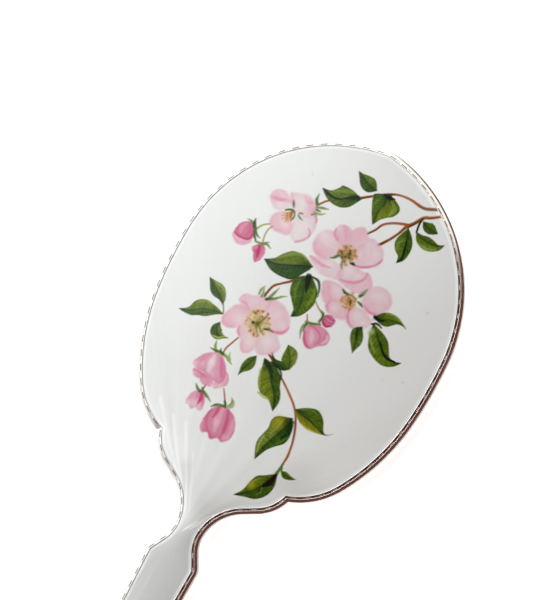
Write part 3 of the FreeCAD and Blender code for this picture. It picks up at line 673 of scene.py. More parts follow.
def paint_flower_one(c):
    heart = (-23.6, 95.6)
    c.petals([
        ((-28, 103.4, -25, 104.6, -21.8, 105.6, -18.8, 104.6, -16.4, 103, -16.3, 100, -18.6, 97.8, -22,
         96.6, -25.4, 97.8, -27.8, 100.4), PALE, PINK),
        ((-35.6, 99.4, -34, 101.6, -31, 102.4, -28, 101.6, -25.8, 99.4, -26.4, 97, -28.8, 94.6, -32, 94.2,
         -34.6, 96.4), PALE, PINK),
        ((-20.6, 97.4, -16, 98.8, -13.4, 97, -12.7, 94, -13.4, 90, -15, 87, -17.4, 85.5, -20.2, 87, -22.6,
         90, -22.6, 94.2), (236, 224, 225), (236, 208, 214)),
        ((-31.2, 90.2, -29.4, 93.6, -26, 94.2, -22.4, 92.2, -20.8, 89, -22, 86.7, -26, 86.2, -29.6, 87),
         (238, 204, 213), (233, 178, 194)),
    ], heart)
    c.dabs(BLOOM, [
        (-22.4, 101.6, 2.6, 0.6), (-30.4, 96.6, 1.8, 0.6), (-17.6, 92, 3.4, 0.6), (-18.2, 88.4, 2, 0.5),
        (-27.2, 101.8, 1.4, 0.4),
    ])
    c.dabs(FLUSH, [
        (-33.4, 99.6, 1.6, 0.5), (-29, 88.6, 2, 0.45), (-17.2, 102.6, 1.6, 0.4), (-25, 88, 1.6, 0.4),
    ])
    c.dabs((206, 138, 164), [
        (-17.3, 101, 1.9, 0.42), (-19.6, 103.4, 1.4, 0.35), (-22.6, 91, 1.3, 0.25),
        (-33.2, 98.2, 1.8, 0.25),
    ])
    c.strokes([
        ((-34.9, 98, -31.2, 98.6, -27, 99.9), (1.6, 2, 1), ROSE, 0.75, 1.2),
        ((-33.8, 98, -31.6, 98.2, -29.4, 99.4), (0.6, 0.9, 0.4), DEEP, 0.55, 0.9),
        ((-35.4, 99.8, -33.6, 101.7, -30.6, 102.3), (0.3, 0.6, 0.3), ROSE, 0.7, 0.5),
        ((-28.4, 103, -26.9, 101.4, -25.3, 99.2), (0.9, 1, 0.5), ROSE, 0.65, 0.8),
        ((-22.6, 104.5, -21, 103, -19, 103, -17, 103.6), (0.8, 0.9, 1, 0.6), ROSE, 0.7, 0.8),
        ((-17.4, 103, -18.6, 101, -18.2, 98.4), (1.6, 2.2, 0.9), (234, 182, 198), 0.6, 1.4),
        ((-15.6, 99.3, -14, 98.2, -13.5, 96.6), (0.6, 0.9, 0.5), DEEP, 0.9, 0.5),
        ((-13.6, 96.6, -12.9, 94.6, -13, 92.6), (0.4, 0.6, 0.4), (234, 184, 200), 0.8, 0.6),
        ((-15.2, 93.4, -13.7, 92, -13.6, 90, -15.2, 87.6, -17.3, 85.9),
         (0.3, 0.8, 0.6, 0.5, 0.7), DEEP, 0.75, 0.5),
        ((-29.4, 86.9, -27, 86.4, -24.6, 87.2), (0.7, 1.4, 0.8), ROSE, 0.75, 0.8),
        ((-29.8, 91, -27.4, 88.6, -23.4, 88.8), (0.6, 1.8, 0.9), (234, 180, 196), 0.55, 1.4),
        ((-20.8, 97, -18.6, 97.2, -15.8, 97.9), (0.4, 0.6, 0.4), (232, 176, 192), 0.7, 0.6),
    ])
    c.spot((-24.3, 90.6), 2.2, (240, 214, 214), 0.55)
    for end in [(-28.0, 94.2), (-27.6, 92.8), (-26.6, 91.6), (-25.2, 91.0), (-24.0, 91.4), (-23.2, 92.4)]:
        middle = ((end[0] - 24.6) / 2.0, (end[1] + 95.0) / 2.0)
        c.stroke([(-24.4, 96.2), middle, end], (0.9, 0.9, 0.5), (206, 138, 88), 0.7, 0.5)
    c.strokes([
        ((-26.2, 94.8, -25.4, 93.4, -25, 92), (0.3, 0.4, 0.3), (160, 84, 46), 0.8, 0.4),
        ((-24.4, 96.2, -24.2, 95, -23.6, 93.6), (0.9, 1, 0.5), (158, 86, 34), 0.85, 0.5),
        ((-27.2, 95.6, -25.8, 96.6, -24.2, 97, -23.1, 96, -22.8, 94.2, -23.2, 92.8),
         (0.7, 0.9, 0.7, 0.6, 0.7, 0.3), (62, 78, 48), 0.9, 0.35),
        ((-26.1, 100.6, -25.4, 99.4, -24.7, 98.2), (0.5, 1.1, 0.5), (74, 100, 78), 0.9, 0.4),
        ((-21.6, 97, -20.8, 97.5, -20, 97.5), (0.5, 0.7, 0.3), (84, 98, 86), 0.85, 0.4),
        ((-21.5, 96.2, -20.3, 95.5, -18.9, 95.1), (0.7, 0.8, 0.2), (88, 108, 90), 0.85, 0.35),
        ((-16.6, 103.8, -17.8, 105.6, -18.1, 108.2), (1.3, 1.2, 0.3), SEPAL, 0.95),
        ((-17, 104, -18.2, 105.6), (0.5, 0.5), SEPAL_DARK, 0.8),
        ((-16.4, 102.6, -14.4, 103.5, -11.5, 104.3), (0.8, 1.2, 0.3), (112, 138, 92), 0.95),
        ((-15.8, 101.8, -14.2, 101.9), (0.9, 0.5), SEPAL_DARK, 0.8),
        ((-16.2, 100.6, -13.8, 100.8, -11.7, 102.2), (0.9, 1.1, 0.2), SEPAL_PALE, 0.9),
        ((-16.8, 98.9, -15.6, 100, -14.4, 99.4), (0.7, 0.8, 0.2), (96, 120, 86), 0.85),
    ])


def paint_flower_two(c):
    heart = (4.2, 91.4)
    c.petals([
        ((-9.2, 83.4, -6, 84.8, -2, 86.2, 2, 86.6, 6, 84, 7, 81, 3, 79.4, -2, 79.2, -6.2, 80.8),
         PALE, PINK),
        ((5.6, 88.4, 10, 88.6, 13.2, 88.2, 15.6, 88.8, 18.2, 86.6, 19.6, 84, 18.2, 80.4, 14, 78.9, 9, 79.4,
         5.8, 80.6, 4.2, 84.2), (237, 208, 215), (234, 180, 196)),
        ((-10.8, 91.8, -9.6, 95.2, -6, 97.2, -2, 97.2, 0.8, 95, 2.2, 91.6, 0.4, 88, -3, 85.4, -7.2, 85.5,
         -10.2, 88), (238, 204, 212), (234, 184, 199)),
        ((-5.1, 97.6, -4.6, 100.2, -2.2, 101.8, 1, 101.2, 3, 98, 2.6, 94.6, -0.8, 93.8, -3.6, 95.2),
         (237, 198, 209), (232, 172, 191)),
        ((8.2, 101, 11, 102.2, 14, 101.2, 16.6, 99, 18.1, 95.6, 17, 92.4, 14, 90.2, 10.4, 88.9, 7.4, 89.4,
         6, 92, 7, 97), (238, 212, 217), (236, 192, 204)),
        ((1.4, 100.8, 2.8, 103.4, 5, 104.6, 7.6, 103.2, 9, 100, 8.2, 96.8, 6.4, 94.6, 3.8, 94.6, 2, 97.4),
         (240, 200, 209), (236, 184, 198)),
    ], heart)
    c.dabs(BLOOM, [
        (-6.4, 93.4, 3, 0.55), (-9, 94, 1.8, 0.5), (13.4, 97.2, 2.6, 0.4), (8.8, 99.2, 1.6, 0.45),
        (-0.6, 84.4, 2.4, 0.55),
    ])
    c.dabs(BLOOM, [
        (8, 85.8, 2.6, 0.55), (12.4, 85.6, 2, 0.45), (-3.4, 99.6, 1.3, 0.4), (14, 92.6, 1.6, 0.4),
        (-4, 80.6, 1.8, 0.4),
    ])
    c.dabs(FLUSH, [
        (-6, 87.6, 2.8, 0.5), (5, 100.4, 2.4, 0.4), (-0.4, 97.2, 1.6, 0.45), (10.6, 94.4, 1.4, 0.4),
        (17.4, 83.6, 1.8, 0.4), (9.6, 90.8, 1.5, 0.4),
    ])
    c.strokes([
        ((-10, 89.2, -8.4, 86.8, -5, 85.7, -2.6, 86), (1.2, 1.8, 1.5, 0.7), ROSE, 0.6, 1.1),
        ((-5, 98.8, -4.4, 96.2, -2.2, 94.9), (0.5, 0.8, 0.5), DEEP, 0.6, 0.6),
        ((-2.4, 100.8, -0.4, 99, 1.2, 96), (1, 2, 1), (229, 160, 184), 0.65, 1.3),
        ((2, 101.4, 2.2, 98.4, 3.6, 95.6), (0.5, 0.9, 0.5), (231, 168, 188), 0.65, 0.9),
        ((8.8, 101.4, 8.8, 98.4, 7.6, 95.4), (0.4, 0.9, 0.5), (232, 172, 190), 0.65, 0.9),
        ((14.4, 101.4, 16.6, 99.4, 17.9, 96.6), (0.3, 0.6, 0.4), (234, 172, 190), 0.8, 0.6),
        ((18, 96.4, 17.6, 94.9, 16.6, 93.2), (0.4, 0.9, 0.4), DEEP, 0.9, 0.5),
        ((16.6, 93, 14, 90.8, 11.2, 89.3, 8.4, 88.9), (0.4, 0.8, 0.8, 0.5), (216, 112, 150), 0.9, 0.5),
        ((12, 98, 13.4, 94.8, 12.6, 91.4), (0.5, 0.9, 0.4), (234, 182, 198), 0.6, 1),
        ((-8.9, 83.6, -6.4, 83.2, -3, 82.6, 0.4, 83.2), (0.9, 1.1, 1.3, 0.6), (226, 146, 172), 0.8, 0.7),
        ((15.4, 88.3, 15.2, 85.8, 13.4, 83.4, 10.8, 81.8, 6.2, 80.7),
         (0.6, 1.1, 1.3, 1, 0.6), (222, 134, 164), 0.85, 0.7),
        ((16.2, 87.4, 18.4, 86, 19.4, 83.2), (0.5, 1.1, 0.5), (232, 168, 188), 0.7, 0.8),
        ((17.2, 84.4, 16.2, 82, 12.6, 80.2), (1, 2, 1), (235, 184, 199), 0.6, 1.4),
    ])
    c.dabs((206, 166, 124), [(3.6, 91.6, 2.8, 0.75), (2.4, 93.6, 1.5, 0.6), (6, 92.6, 1.6, 0.6)])
    c.dabs((168, 104, 72), [(2.6, 93.8, 0.9, 0.55), (5.8, 94.2, 0.9, 0.5), (1.6, 91.6, 0.9, 0.5)])
    c.stamens((4.2, 91.2), 26, 1.8, 4.2)
    c.dabs((88, 84, 46), [
        (4.9, 91.8, 0.9, 0.8), (2.2, 90.4, 0.8, 0.7), (3.6, 88.8, 0.7, 0.6), (6.2, 90.6, 0.7, 0.5),
    ])
    for x, y in [(2.6, 89.4), (5.0, 92.4), (3.8, 90.2), (1.6, 91.4), (5.4, 90.6), (4.4, 93.4)]:
        c.spot((x, y), 0.55, (70, 62, 34), 0.85)
    for x, y in [(2.4, 93.6), (6.4, 94.4), (0.8, 91.2), (7.2, 92.6), (4.6, 88.4)]:
        c.spot((x, y), 0.5, (168, 84, 58), 0.8)
    c.strokes([
        ((7, 88.8, 8, 89.1, 9.2, 88.9), (0.7, 1.5, 0.4), (46, 72, 50), 0.95, 0.35),
        ((3.7, 88.1, 4, 86.6, 5, 85.1), (0.8, 1.2, 0.4), (112, 128, 100), 0.85, 0.4),
        ((-1.6, 86.9, -0.2, 87.6, 1.2, 89.4), (0.3, 1.1, 1.2), (82, 106, 72), 0.9, 0.4),
    ])


def paint_flower_three(c):
    heart = (14.0, 74.6)
    c.petals([
        ((19.4, 83.6, 22, 85.9, 25, 86.3, 28.2, 84.8, 30.2, 81.6, 29.6, 78, 27.2, 75.2, 23, 74.3, 19.8,
         75.2, 18.4, 78, 18.6, 81.2), (238, 204, 212), (236, 190, 202)),
        ((0.8, 77.2, 4, 78.8, 8, 78.8, 11, 77.2, 12, 74.6, 9.4, 71.2, 6.4, 69.4, 3.8, 70.4, 1.8, 73.2),
         (237, 200, 210), (234, 182, 197)),
        ((15.2, 72.8, 19, 74.4, 23, 73.8, 26.2, 71.6, 25.6, 68.4, 22.6, 65.8, 19.4, 65.3, 16.6, 66.8, 15,
         69.6), (238, 210, 216), (235, 188, 201)),
        ((6, 71.2, 9, 73, 12.6, 72.4, 15.8, 70.4, 16, 67, 12.2, 65.8, 8.4, 66.2, 6.2, 68.4),
         (237, 202, 211), (233, 178, 194)),
    ], heart)
    c.dabs(BLOOM, [
        (25, 82.6, 3.2, 0.5), (22, 81.6, 2, 0.4), (7.4, 76.4, 2.2, 0.5), (9.4, 69.4, 1.8, 0.4),
        (20.6, 71.4, 2.2, 0.45), (23.6, 69.6, 1.6, 0.4),
    ])
    c.dabs(FLUSH, [
        (23, 76.8, 2.4, 0.45), (4.4, 72.8, 2.2, 0.45), (12.6, 68.4, 1.8, 0.35), (27.6, 79.4, 1.6, 0.35),
        (17.6, 68, 1.3, 0.35),
    ])
    c.strokes([
        ((3, 77.4, 4.4, 74.6, 7, 71.6), (1.2, 2.4, 1.2), (229, 162, 184), 0.65, 1.4),
        ((1.2, 76.8, 3, 73, 5.4, 70.4), (0.4, 0.9, 0.5), (230, 162, 184), 0.7, 0.8),
        ((7.2, 70.8, 6.8, 68.8, 8.4, 66.9), (0.5, 1.1, 0.5), (222, 134, 164), 0.75, 0.7),
        ((8.6, 70.6, 8.2, 68.4, 10.4, 66.8), (0.4, 0.8, 0.3), (232, 172, 192), 0.7, 0.7),
        ((15.8, 71.8, 16.4, 69.2, 18, 67, 20.4, 65.8), (0.4, 0.9, 0.9, 0.4), (220, 128, 160), 0.85, 0.6),
        ((17.2, 71.4, 18, 69, 20.2, 67.4), (0.5, 1.2, 0.5), (235, 184, 200), 0.6, 1),
        ((20.6, 76.2, 22.4, 75, 25, 74.7, 27.8, 75.6), (0.6, 1.1, 1.3, 0.6), (223, 136, 162), 0.85, 0.6),
        ((19.4, 82.6, 19.6, 79.6, 20.6, 77.4), (0.5, 1.2, 0.5), (235, 184, 200), 0.6, 1),
        ((27.6, 85, 29.6, 82.4, 29.6, 79.4), (0.3, 0.7, 0.4), (234, 178, 194), 0.7, 0.8),
        ((26.4, 72.6, 27.6, 74, 27.2, 75.4), (1, 1.4, 0.6), (228, 168, 186), 0.6, 0.9),
    ])
    c.dabs((206, 160, 118), [(14, 74.2, 2.5, 0.75), (12, 73.2, 1.5, 0.6), (15.6, 72.8, 1.5, 0.6)])
    c.stamens((14.2, 74.8), 20, 1.4, 3.8, 1, ((198, 130, 84), (208, 156, 108), (162, 104, 70)))
    c.dabs((120, 84, 50), [(14.6, 74.6, 0.8, 0.7), (13.2, 75.8, 0.7, 0.5)])
    c.strokes([
        ((11.6, 75.4, 12.4, 76.8, 14.2, 77.4, 15.8, 76.6, 16.2, 75.2),
         (0.4, 0.7, 0.6, 0.6, 0.3), (136, 112, 60), 0.9, 0.35),
        ((14.4, 75.4, 14.9, 74.2, 15.2, 73.2), (0.7, 0.9, 0.5), (92, 86, 44), 0.85, 0.35),
        ((10.6, 73.6, 11.8, 73.4), (0.4, 0.4), (176, 96, 68), 0.75, 0.35),
        ((12.6, 71.6, 14.6, 71.5), (0.4, 0.5), (186, 104, 72), 0.75, 0.35),
    ])
    c.spot((15.8, 72.2), 0.6, (194, 84, 92), 0.8)
    c.spot((13.4, 75.6), 0.8, (188, 118, 62), 0.75)
    c.strokes([
        ((9.5, 77.8, 10.8, 77.1, 12.3, 76.9), (0.7, 1.3, 0.5), (58, 82, 62), 0.9, 0.4),
        ((17, 78.6, 17.7, 80.2, 18.4, 82.6), (1.5, 1.5, 0.5), (112, 138, 104), 0.85, 0.5),
        ((17, 78.8, 17.8, 79.6), (0.8, 0.7), (58, 82, 54), 0.85, 0.4),
        ((17.7, 76.2, 18.9, 75.8, 20.2, 75.2), (0.7, 1.2, 0.3), (72, 98, 68), 0.9, 0.4),
    ])


def paint_flower_four(c):
    heart = (-15.0, 48.8)
    c.petals([
        ((-15.4, 59.9, -11, 60.7, -7.4, 59.6, -4, 56.4, -2.5, 53, -3.4, 49.8, -6.2, 48.2, -10, 47.9, -13.4,
         50.2, -15.4, 54.6), (239, 206, 214), (237, 194, 205)),
        ((-26.4, 54, -25.4, 56.8, -22, 58, -18, 59.6, -14.6, 59.8, -13.6, 56.6, -15.2, 52.6, -18.4, 51.2,
         -22, 50.8, -25.2, 52.4), (239, 202, 211), (237, 190, 202)),
        ((-29.2, 44, -28.4, 47.2, -27, 50.2, -24, 51.6, -19.8, 51, -16.8, 48.8, -18.8, 45.2, -22, 42.8, -25,
         41.4, -27.8, 41.6), (238, 200, 209), (233, 176, 192)),
        ((-11.8, 47.8, -8, 48.6, -5, 47.6, -3, 45.4, -2, 43.5, -3.4, 40.8, -6.4, 38.2, -9.2, 37.5, -11.4,
         40, -12.8, 44), (238, 212, 217), (237, 196, 206)),
        ((-21, 43.8, -19.2, 46.8, -16, 48.2, -12.8, 45.8, -10.8, 41.2, -11.4, 38, -12.9, 35.6, -15, 35,
         -16.6, 36.4, -18.6, 39.8, -20.6, 41.4), (240, 212, 216), (237, 192, 203)),
    ], heart)
    c.dabs(BLOOM, [
        (-22.4, 46, 2.4, 0.55), (-7.4, 43.8, 2.8, 0.5), (-14.2, 40.2, 2, 0.5), (-9.4, 55.6, 2.4, 0.35),
        (-5.6, 53, 1.6, 0.35), (-20.6, 56.6, 1.8, 0.35),
    ])
    c.dabs(FLUSH, [
        (-26.6, 44, 2.2, 0.4), (-18.6, 42.6, 1.6, 0.35), (-12.6, 58.2, 1.8, 0.3), (-4.2, 41.4, 1.6, 0.35),
        (-15.6, 37.2, 1.5, 0.35),
    ])
    c.strokes([
        ((-26.5, 53.6, -25.8, 56, -24.2, 57.4), (0.4, 0.6, 0.3), (233, 168, 186), 0.8, 0.6),
        ((-25.2, 53.6, -23.4, 53.4, -21.4, 52.2, -19.8, 51.2),
         (0.7, 1.1, 0.8, 0.4), (226, 146, 170), 0.8, 0.6),
        ((-27, 50.4, -24.6, 51.6, -21.6, 51.3), (0.6, 1.5, 0.8), (230, 160, 180), 0.6, 1),
        ((-28.9, 45, -28.2, 42.5, -25.6, 41.6, -22.8, 42.6),
         (0.6, 1.2, 1.2, 0.5), (228, 154, 176), 0.75, 0.8),
        ((-27.6, 48.6, -25.4, 45.8, -22.2, 44), (0.8, 2, 0.8), (236, 186, 199), 0.6, 1.3),
        ((-21, 44, -20.7, 42, -19, 40.2), (0.6, 1.2, 0.6), (225, 140, 167), 0.85, 0.6),
        ((-17.4, 39.6, -16.4, 36.8, -14.8, 35.4, -12.8, 36.2),
         (0.4, 0.8, 0.8, 0.5), (233, 164, 184), 0.8, 0.6),
        ((-2.8, 53.2, -3.4, 50.8, -5.4, 49.1, -8.6, 48.6), (0.5, 1.1, 1.3, 0.6), (225, 122, 156), 0.9, 0.6),
        ((-7.6, 58.4, -4.8, 56, -3.6, 53.4), (0.6, 2, 0.8), (236, 184, 198), 0.6, 1.3),
        ((-9.6, 57.6, -7.2, 54.2, -8, 51), (0.5, 1.1, 0.4), (237, 190, 203), 0.6, 1),
        ((-11.2, 59.9, -8.4, 57.8, -6.9, 54.6), (0.3, 0.7, 0.3), (233, 172, 190), 0.5, 0.8),
        ((-2.3, 44.2, -3.2, 41.6, -5.6, 39.2, -8.8, 37.8),
         (0.4, 0.8, 0.7, 0.4), (234, 172, 190), 0.75, 0.7),
        ((-12.2, 44.6, -11.2, 41.2, -10.6, 38.6), (0.4, 0.6, 0.3), (235, 178, 194), 0.7, 0.7),
    ])
    c.spot((-15, 48.9), 4.4, (226, 206, 164), 0.85)
    c.spot((-17.6, 51.4), 2, (214, 178, 120), 0.6)
    c.stamens((-15, 48.6), 30, 2.4, 5.2, 1.1, ((186, 138, 78), (204, 164, 100), (132, 122, 64)))
    for spot in pairs((-17.2, 53.2, -15.4, 53.8, -17.7, 52, -11.7, 52.6, -14.6, 51.8, -13, 54, -14.2, 43.6,
                       -16.2, 44.6)):
        c.spot(spot, 0.5, (166, 66, 40), 0.9)
    for spot in pairs((-19.2, 50.2, -19, 51.6, -11, 50.6, -10.6, 46, -12.4, 44.4, -18.6, 48.4, -17.6, 45.6)):
        c.spot(spot, 0.6, (204, 160, 82), 0.85)
    c.spot((-14.9, 48.3), 1.2, (74, 82, 34), 0.85)
    c.spot((-16.8, 47.9), 0.65, (26, 26, 18), 0.95)
    c.strokes([
        ((-14.2, 49.6, -13.4, 51.6, -12.9, 53.6), (0.7, 0.8, 0.5), (98, 104, 62), 0.85, 0.35),
        ((-15, 50.2, -15.4, 51.6), (0.5, 0.4), (96, 104, 40), 0.8, 0.35),
        ((-14, 47.8, -12.2, 46.2, -10.6, 45.4), (0.5, 0.6, 0.4), (112, 116, 56), 0.85, 0.35),
        ((-14.8, 46.9, -13.4, 45.2, -12.4, 43.8), (0.6, 0.5, 0.3), (104, 112, 52), 0.8, 0.35),
        ((-18.8, 52, -17.6, 51.6), (0.5, 0.7), (116, 104, 56), 0.8, 0.35),
        ((-11.6, 47.7, -9.8, 48.5, -7.6, 48.3), (0.7, 1.3, 0.5), (112, 112, 86), 0.9, 0.4),
        ((-11.2, 47.8, -10, 48.1), (0.6, 0.6), (64, 70, 46), 0.8, 0.35),
        ((-20.2, 59.6, -20.3, 61.4, -19.5, 63.8), (0.9, 1.2, 0.2), (122, 146, 92), 0.9),
        ((-18.9, 59.2, -18.9, 61, -19.4, 62.6), (0.9, 0.7, 0.2), SEPAL, 0.9),
        ((-16.2, 59.3, -15.2, 61.8, -14, 65.8), (1.1, 1.2, 0.2), (98, 128, 80), 0.9),
        ((-16.6, 59, -14.6, 60.4, -12.8, 61.6), (1.1, 1, 0.4), SEPAL_DARK, 0.85),
        ((-15, 59.6, -12.8, 61.6, -11.4, 63, -9.5, 64.2), (0.7, 1.1, 0.8, 0.2), (112, 140, 84), 0.9),
    ])


def paint_buds(c):
    # pair on thin stalks, upper left
    c.strokes([
        ((-30.2, 87.4, -32.6, 85.6, -34.2, 82.8), (0.5, 0.6, 0.8), STALK, 1),
        ((-28.8, 87, -29.8, 84.6, -29.7, 81.4, -29, 78.6), (0.5, 0.6, 0.6, 0.7), STALK, 1),
    ])
    c.petals([
        ((-42.2, 77.4, -41, 75.2, -38.6, 73.6, -35.8, 74.4, -33.6, 76.8, -34.4, 79.4, -38, 78.6),
         (238, 196, 208), (232, 170, 188), 0.9, 1),
        ((-42, 78.2, -41.6, 81, -39.6, 83.6, -37, 84.5, -34.9, 82.6, -33.9, 79.6, -35, 77.2, -38, 76.5, -41,
         76.8), (214, 126, 156), (206, 96, 134), 0.97, 0.85, 1.2),
    ])
    c.strokes([
        ((-36.2, 84.2, -34.6, 81.4, -34.6, 78.4, -36.6, 77, -39.6, 76.8, -41.6, 77.4),
         (0.8, 1, 0.9, 0.7, 0.8, 0.4), (192, 62, 104), 0.8, 0.6),
        ((-38.6, 83.4, -39.8, 80.8, -39.4, 78.4), (0.9, 2, 1), (224, 150, 174), 0.7, 1.2),
        ((-37, 83, -36.2, 80.6, -36.8, 78.6), (0.5, 1.2, 0.5), (200, 84, 124), 0.5, 0.9),
        ((-41.4, 75.8, -38.8, 74.6, -35.4, 75.8), (0.4, 0.5, 0.3), (222, 138, 164), 0.7, 0.5),
        ((-39.6, 84.9, -37.4, 84.8, -35.6, 83.6), (0.2, 0.9, 0.9), SEPAL, 0.9),
        ((-36.4, 86.7, -36.2, 85.2, -35.2, 83.2), (0.3, 1.3, 1.4), SEPAL_DARK, 0.95),
        ((-35.2, 83.8, -33.8, 81.8, -32.4, 80.6, -30.9, 80.2), (1, 1, 0.8, 0.2), (70, 98, 62), 0.95),
        ((-34.6, 81.8, -33.2, 79.6, -31.4, 77.9), (0.7, 1.1, 0.3), (64, 92, 58), 0.95),
    ])
    c.petals([
        ((-32, 75.2, -31, 77.2, -29, 78.4, -27, 77.4, -26.3, 74.6, -26.9, 72, -28.3, 70.3, -29.4, 71.4,
         -30.4, 73.2), (212, 118, 150), (205, 96, 134), 0.97, 0.8, 1),
    ])
    c.strokes([
        ((-29.6, 77.2, -29, 74.6, -28.4, 72.6), (0.9, 1.7, 0.6), (186, 44, 88), 0.8, 0.7),
        ((-27.4, 77, -27, 74, -27.8, 71.6), (0.5, 0.9, 0.4), (222, 146, 172), 0.7, 0.7),
        ((-31.6, 75.2, -30.4, 76.2), (0.8, 0.8), (224, 146, 170), 0.6, 0.6),
        ((-32.6, 78, -31, 78.3, -29.2, 78.5, -27.2, 79.3, -25, 78.4),
         (0.3, 0.9, 1.1, 0.9, 0.3), (104, 132, 84), 0.95),
        ((-29, 78.6, -27.6, 80, -26.6, 80.5), (0.5, 0.7, 0.2), SEPAL, 0.9),
    ])
    # pair right of the middle
    c.petals([
        ((7.8, 63.4, 8.4, 65.2, 10.4, 65.9, 12.6, 65.1, 13.1, 63.3, 12.1, 61.5, 10, 60.8, 8.3, 61.8),
         (214, 126, 156), (202, 84, 126), 0.97, 0.8, 0.8),
    ])
    c.strokes([
        ((8, 63, 8.8, 61.6, 10.6, 60.9, 12, 61.9), (0.6, 1, 1, 0.4), (178, 52, 92), 0.8, 0.5),
        ((8.8, 64.9, 10.6, 64.4, 12.4, 64.6), (0.4, 0.4, 0.3), (188, 68, 108), 0.8, 0.4),
        ((9, 63.4, 10.6, 62.8, 12.6, 63.3), (0.3, 0.4, 0.3), (196, 78, 116), 0.7, 0.4),
        ((10, 63.8, 11.6, 63.6), (0.5, 0.5), (228, 160, 182), 0.6, 0.5),
        ((5.6, 65.8, 7.2, 64.8, 7.5, 63, 7.2, 61.2, 8.4, 60.3),
         (0.4, 1.2, 1.1, 1, 0.4), (98, 126, 84), 0.95),
        ((7, 65.4, 7.5, 63.6, 7.5, 61.6), (0.3, 0.5, 0.3), SEPAL_DARK, 0.8),
    ])
    c.petals([
        ((3.1, 55.6, 4.4, 58.6, 7.4, 59.9, 10.6, 59.9, 13.3, 58.6, 14.7, 56, 13.6, 53.4, 11.2, 51.8, 9,
         49.4, 6.6, 49.7, 4.3, 52.2), (228, 162, 184), (222, 138, 166), 0.96, 0.9, 1.2),
    ])
    c.strokes([
        ((3.8, 57.6, 6.2, 58.2, 9, 57.4, 10.8, 55.4, 10.2, 52.2),
         (0.5, 0.7, 0.8, 0.6, 0.3), (208, 100, 140), 0.7, 0.6),
        ((3.9, 55, 5, 52.2, 6.8, 50.2, 8.8, 49.8), (0.6, 1.1, 1.2, 0.5), (208, 84, 116), 0.8, 0.6),
        ((11.6, 58.8, 12.2, 56, 11.2, 53), (0.4, 1, 0.5), (212, 116, 150), 0.7, 0.8),
        ((6.2, 56.4, 7.6, 54, 8.4, 51.6), (1.2, 2.4, 0.9), (236, 186, 202), 0.7, 1.3),
        ((13.2, 57.6, 13.6, 55.8, 12.6, 54), (0.8, 1.4, 0.7), (237, 192, 204), 0.7, 0.9),
        ((2.4, 58.8, 4.6, 59, 6.8, 60, 8.4, 60.4), (0.9, 1.3, 0.9, 0.4), (88, 118, 78), 0.95),
        ((3, 58.6, 2.1, 56.2, 2.4, 54, 3.6, 51.2), (1.2, 1, 0.8, 0.2), (118, 144, 100), 0.95),
        ((3.2, 58.2, 2.9, 56.2, 3.1, 54.6), (0.8, 0.6, 0.3), SEPAL_DARK, 0.85),
    ])
    # half-open cup, lower left
    c.petals([
        ((-16.4, 24.6, -14.6, 22.6, -13.9, 20, -15.6, 17.8, -18.2, 15.8, -19.2, 18.4, -18, 22),
         (236, 190, 202), (231, 164, 184), 0.9, 1),
        ((-29.4, 19.6, -26.6, 19.6, -24.4, 18.6, -25.6, 16.8, -28.4, 17.2),
         (230, 160, 182), (224, 142, 168), 0.9, 1),
        ((-25.6, 19.4, -22.4, 19.8, -19.8, 18.6, -19.4, 16.4, -22, 15.4, -24.8, 16.2),
         (230, 160, 182), (224, 138, 164), 0.9, 1),
        ((-30.8, 21.2, -29.8, 24.6, -27.6, 27.6, -24.6, 29.4, -21.4, 29.4, -18.8, 27.4, -16.8, 24.4, -16.1,
         21.2, -17.4, 18.6, -20.4, 18.8, -24, 19.8, -28, 20),
         (231, 168, 188), (224, 142, 169), 0.95, 0.9, 1.6),
    ])
    c.stroke((-24.2, 28, -24, 24.8, -23.6, 21.6), (1.6, 3.2, 1.8), (232, 206, 212), 0.8, 1.5)
    c.dabs(BLOOM, [
        (-24.2, 25.4, 1.5, 0.5), (-27.6, 23, 1.2, 0.35), (-21.6, 21, 1.4, 0.3), (-23, 17, 1, 0.3),
    ])
    c.strokes([
        ((-21.4, 28.8, -19.6, 25.6, -17.6, 21.6), (1, 1.8, 0.8), (213, 108, 150), 0.75, 0.9),
        ((-26.4, 27.6, -27.8, 25, -28.4, 21.8), (0.8, 1.8, 0.9), (224, 138, 166), 0.7, 1.1),
        ((-25.6, 27.8, -25.9, 24.4, -25.6, 21.2), (0.4, 1, 0.5), (228, 150, 178), 0.6, 0.9),
        ((-19.8, 27.6, -17.4, 24.4, -16.5, 21, -17.2, 18.8),
         (0.4, 0.7, 0.8, 0.5), (216, 118, 152), 0.8, 0.5),
        ((-29, 19, -26.4, 19.2, -24.6, 18.8, -22.8, 18.4), (0.6, 1.1, 1, 0.5), (216, 112, 146), 0.75, 0.6),
        ((-24, 17.6, -22, 17.2, -20.2, 17.6), (0.4, 0.9, 0.5), (222, 130, 160), 0.7, 0.7),
        ((-16, 24, -14.4, 21.6, -14.8, 19.2), (0.3, 0.7, 0.4), (226, 146, 172), 0.8, 0.5),
        ((-26.5, 34, -25.9, 31.8, -24.6, 30), (0.3, 1.1, 1), (92, 122, 72), 0.95),
        ((-27.4, 30.2, -25, 30.2, -22.8, 30.6), (0.3, 1.1, 1.3), (72, 102, 56), 0.9),
        ((-22.6, 30.4, -20, 30.2, -18.2, 29.2, -16.3, 28.3), (1.4, 1.3, 1.1, 0.3), (112, 142, 84), 0.95),
        ((-19.2, 32.6, -18.9, 31, -17.6, 29.6), (0.2, 0.8, 0.6), (128, 156, 100), 0.85),
        ((-23.4, 32.2, -22.8, 30.8, -21.6, 30.4), (0.3, 0.9, 1.1), SEPAL_DARK, 0.8),
    ])
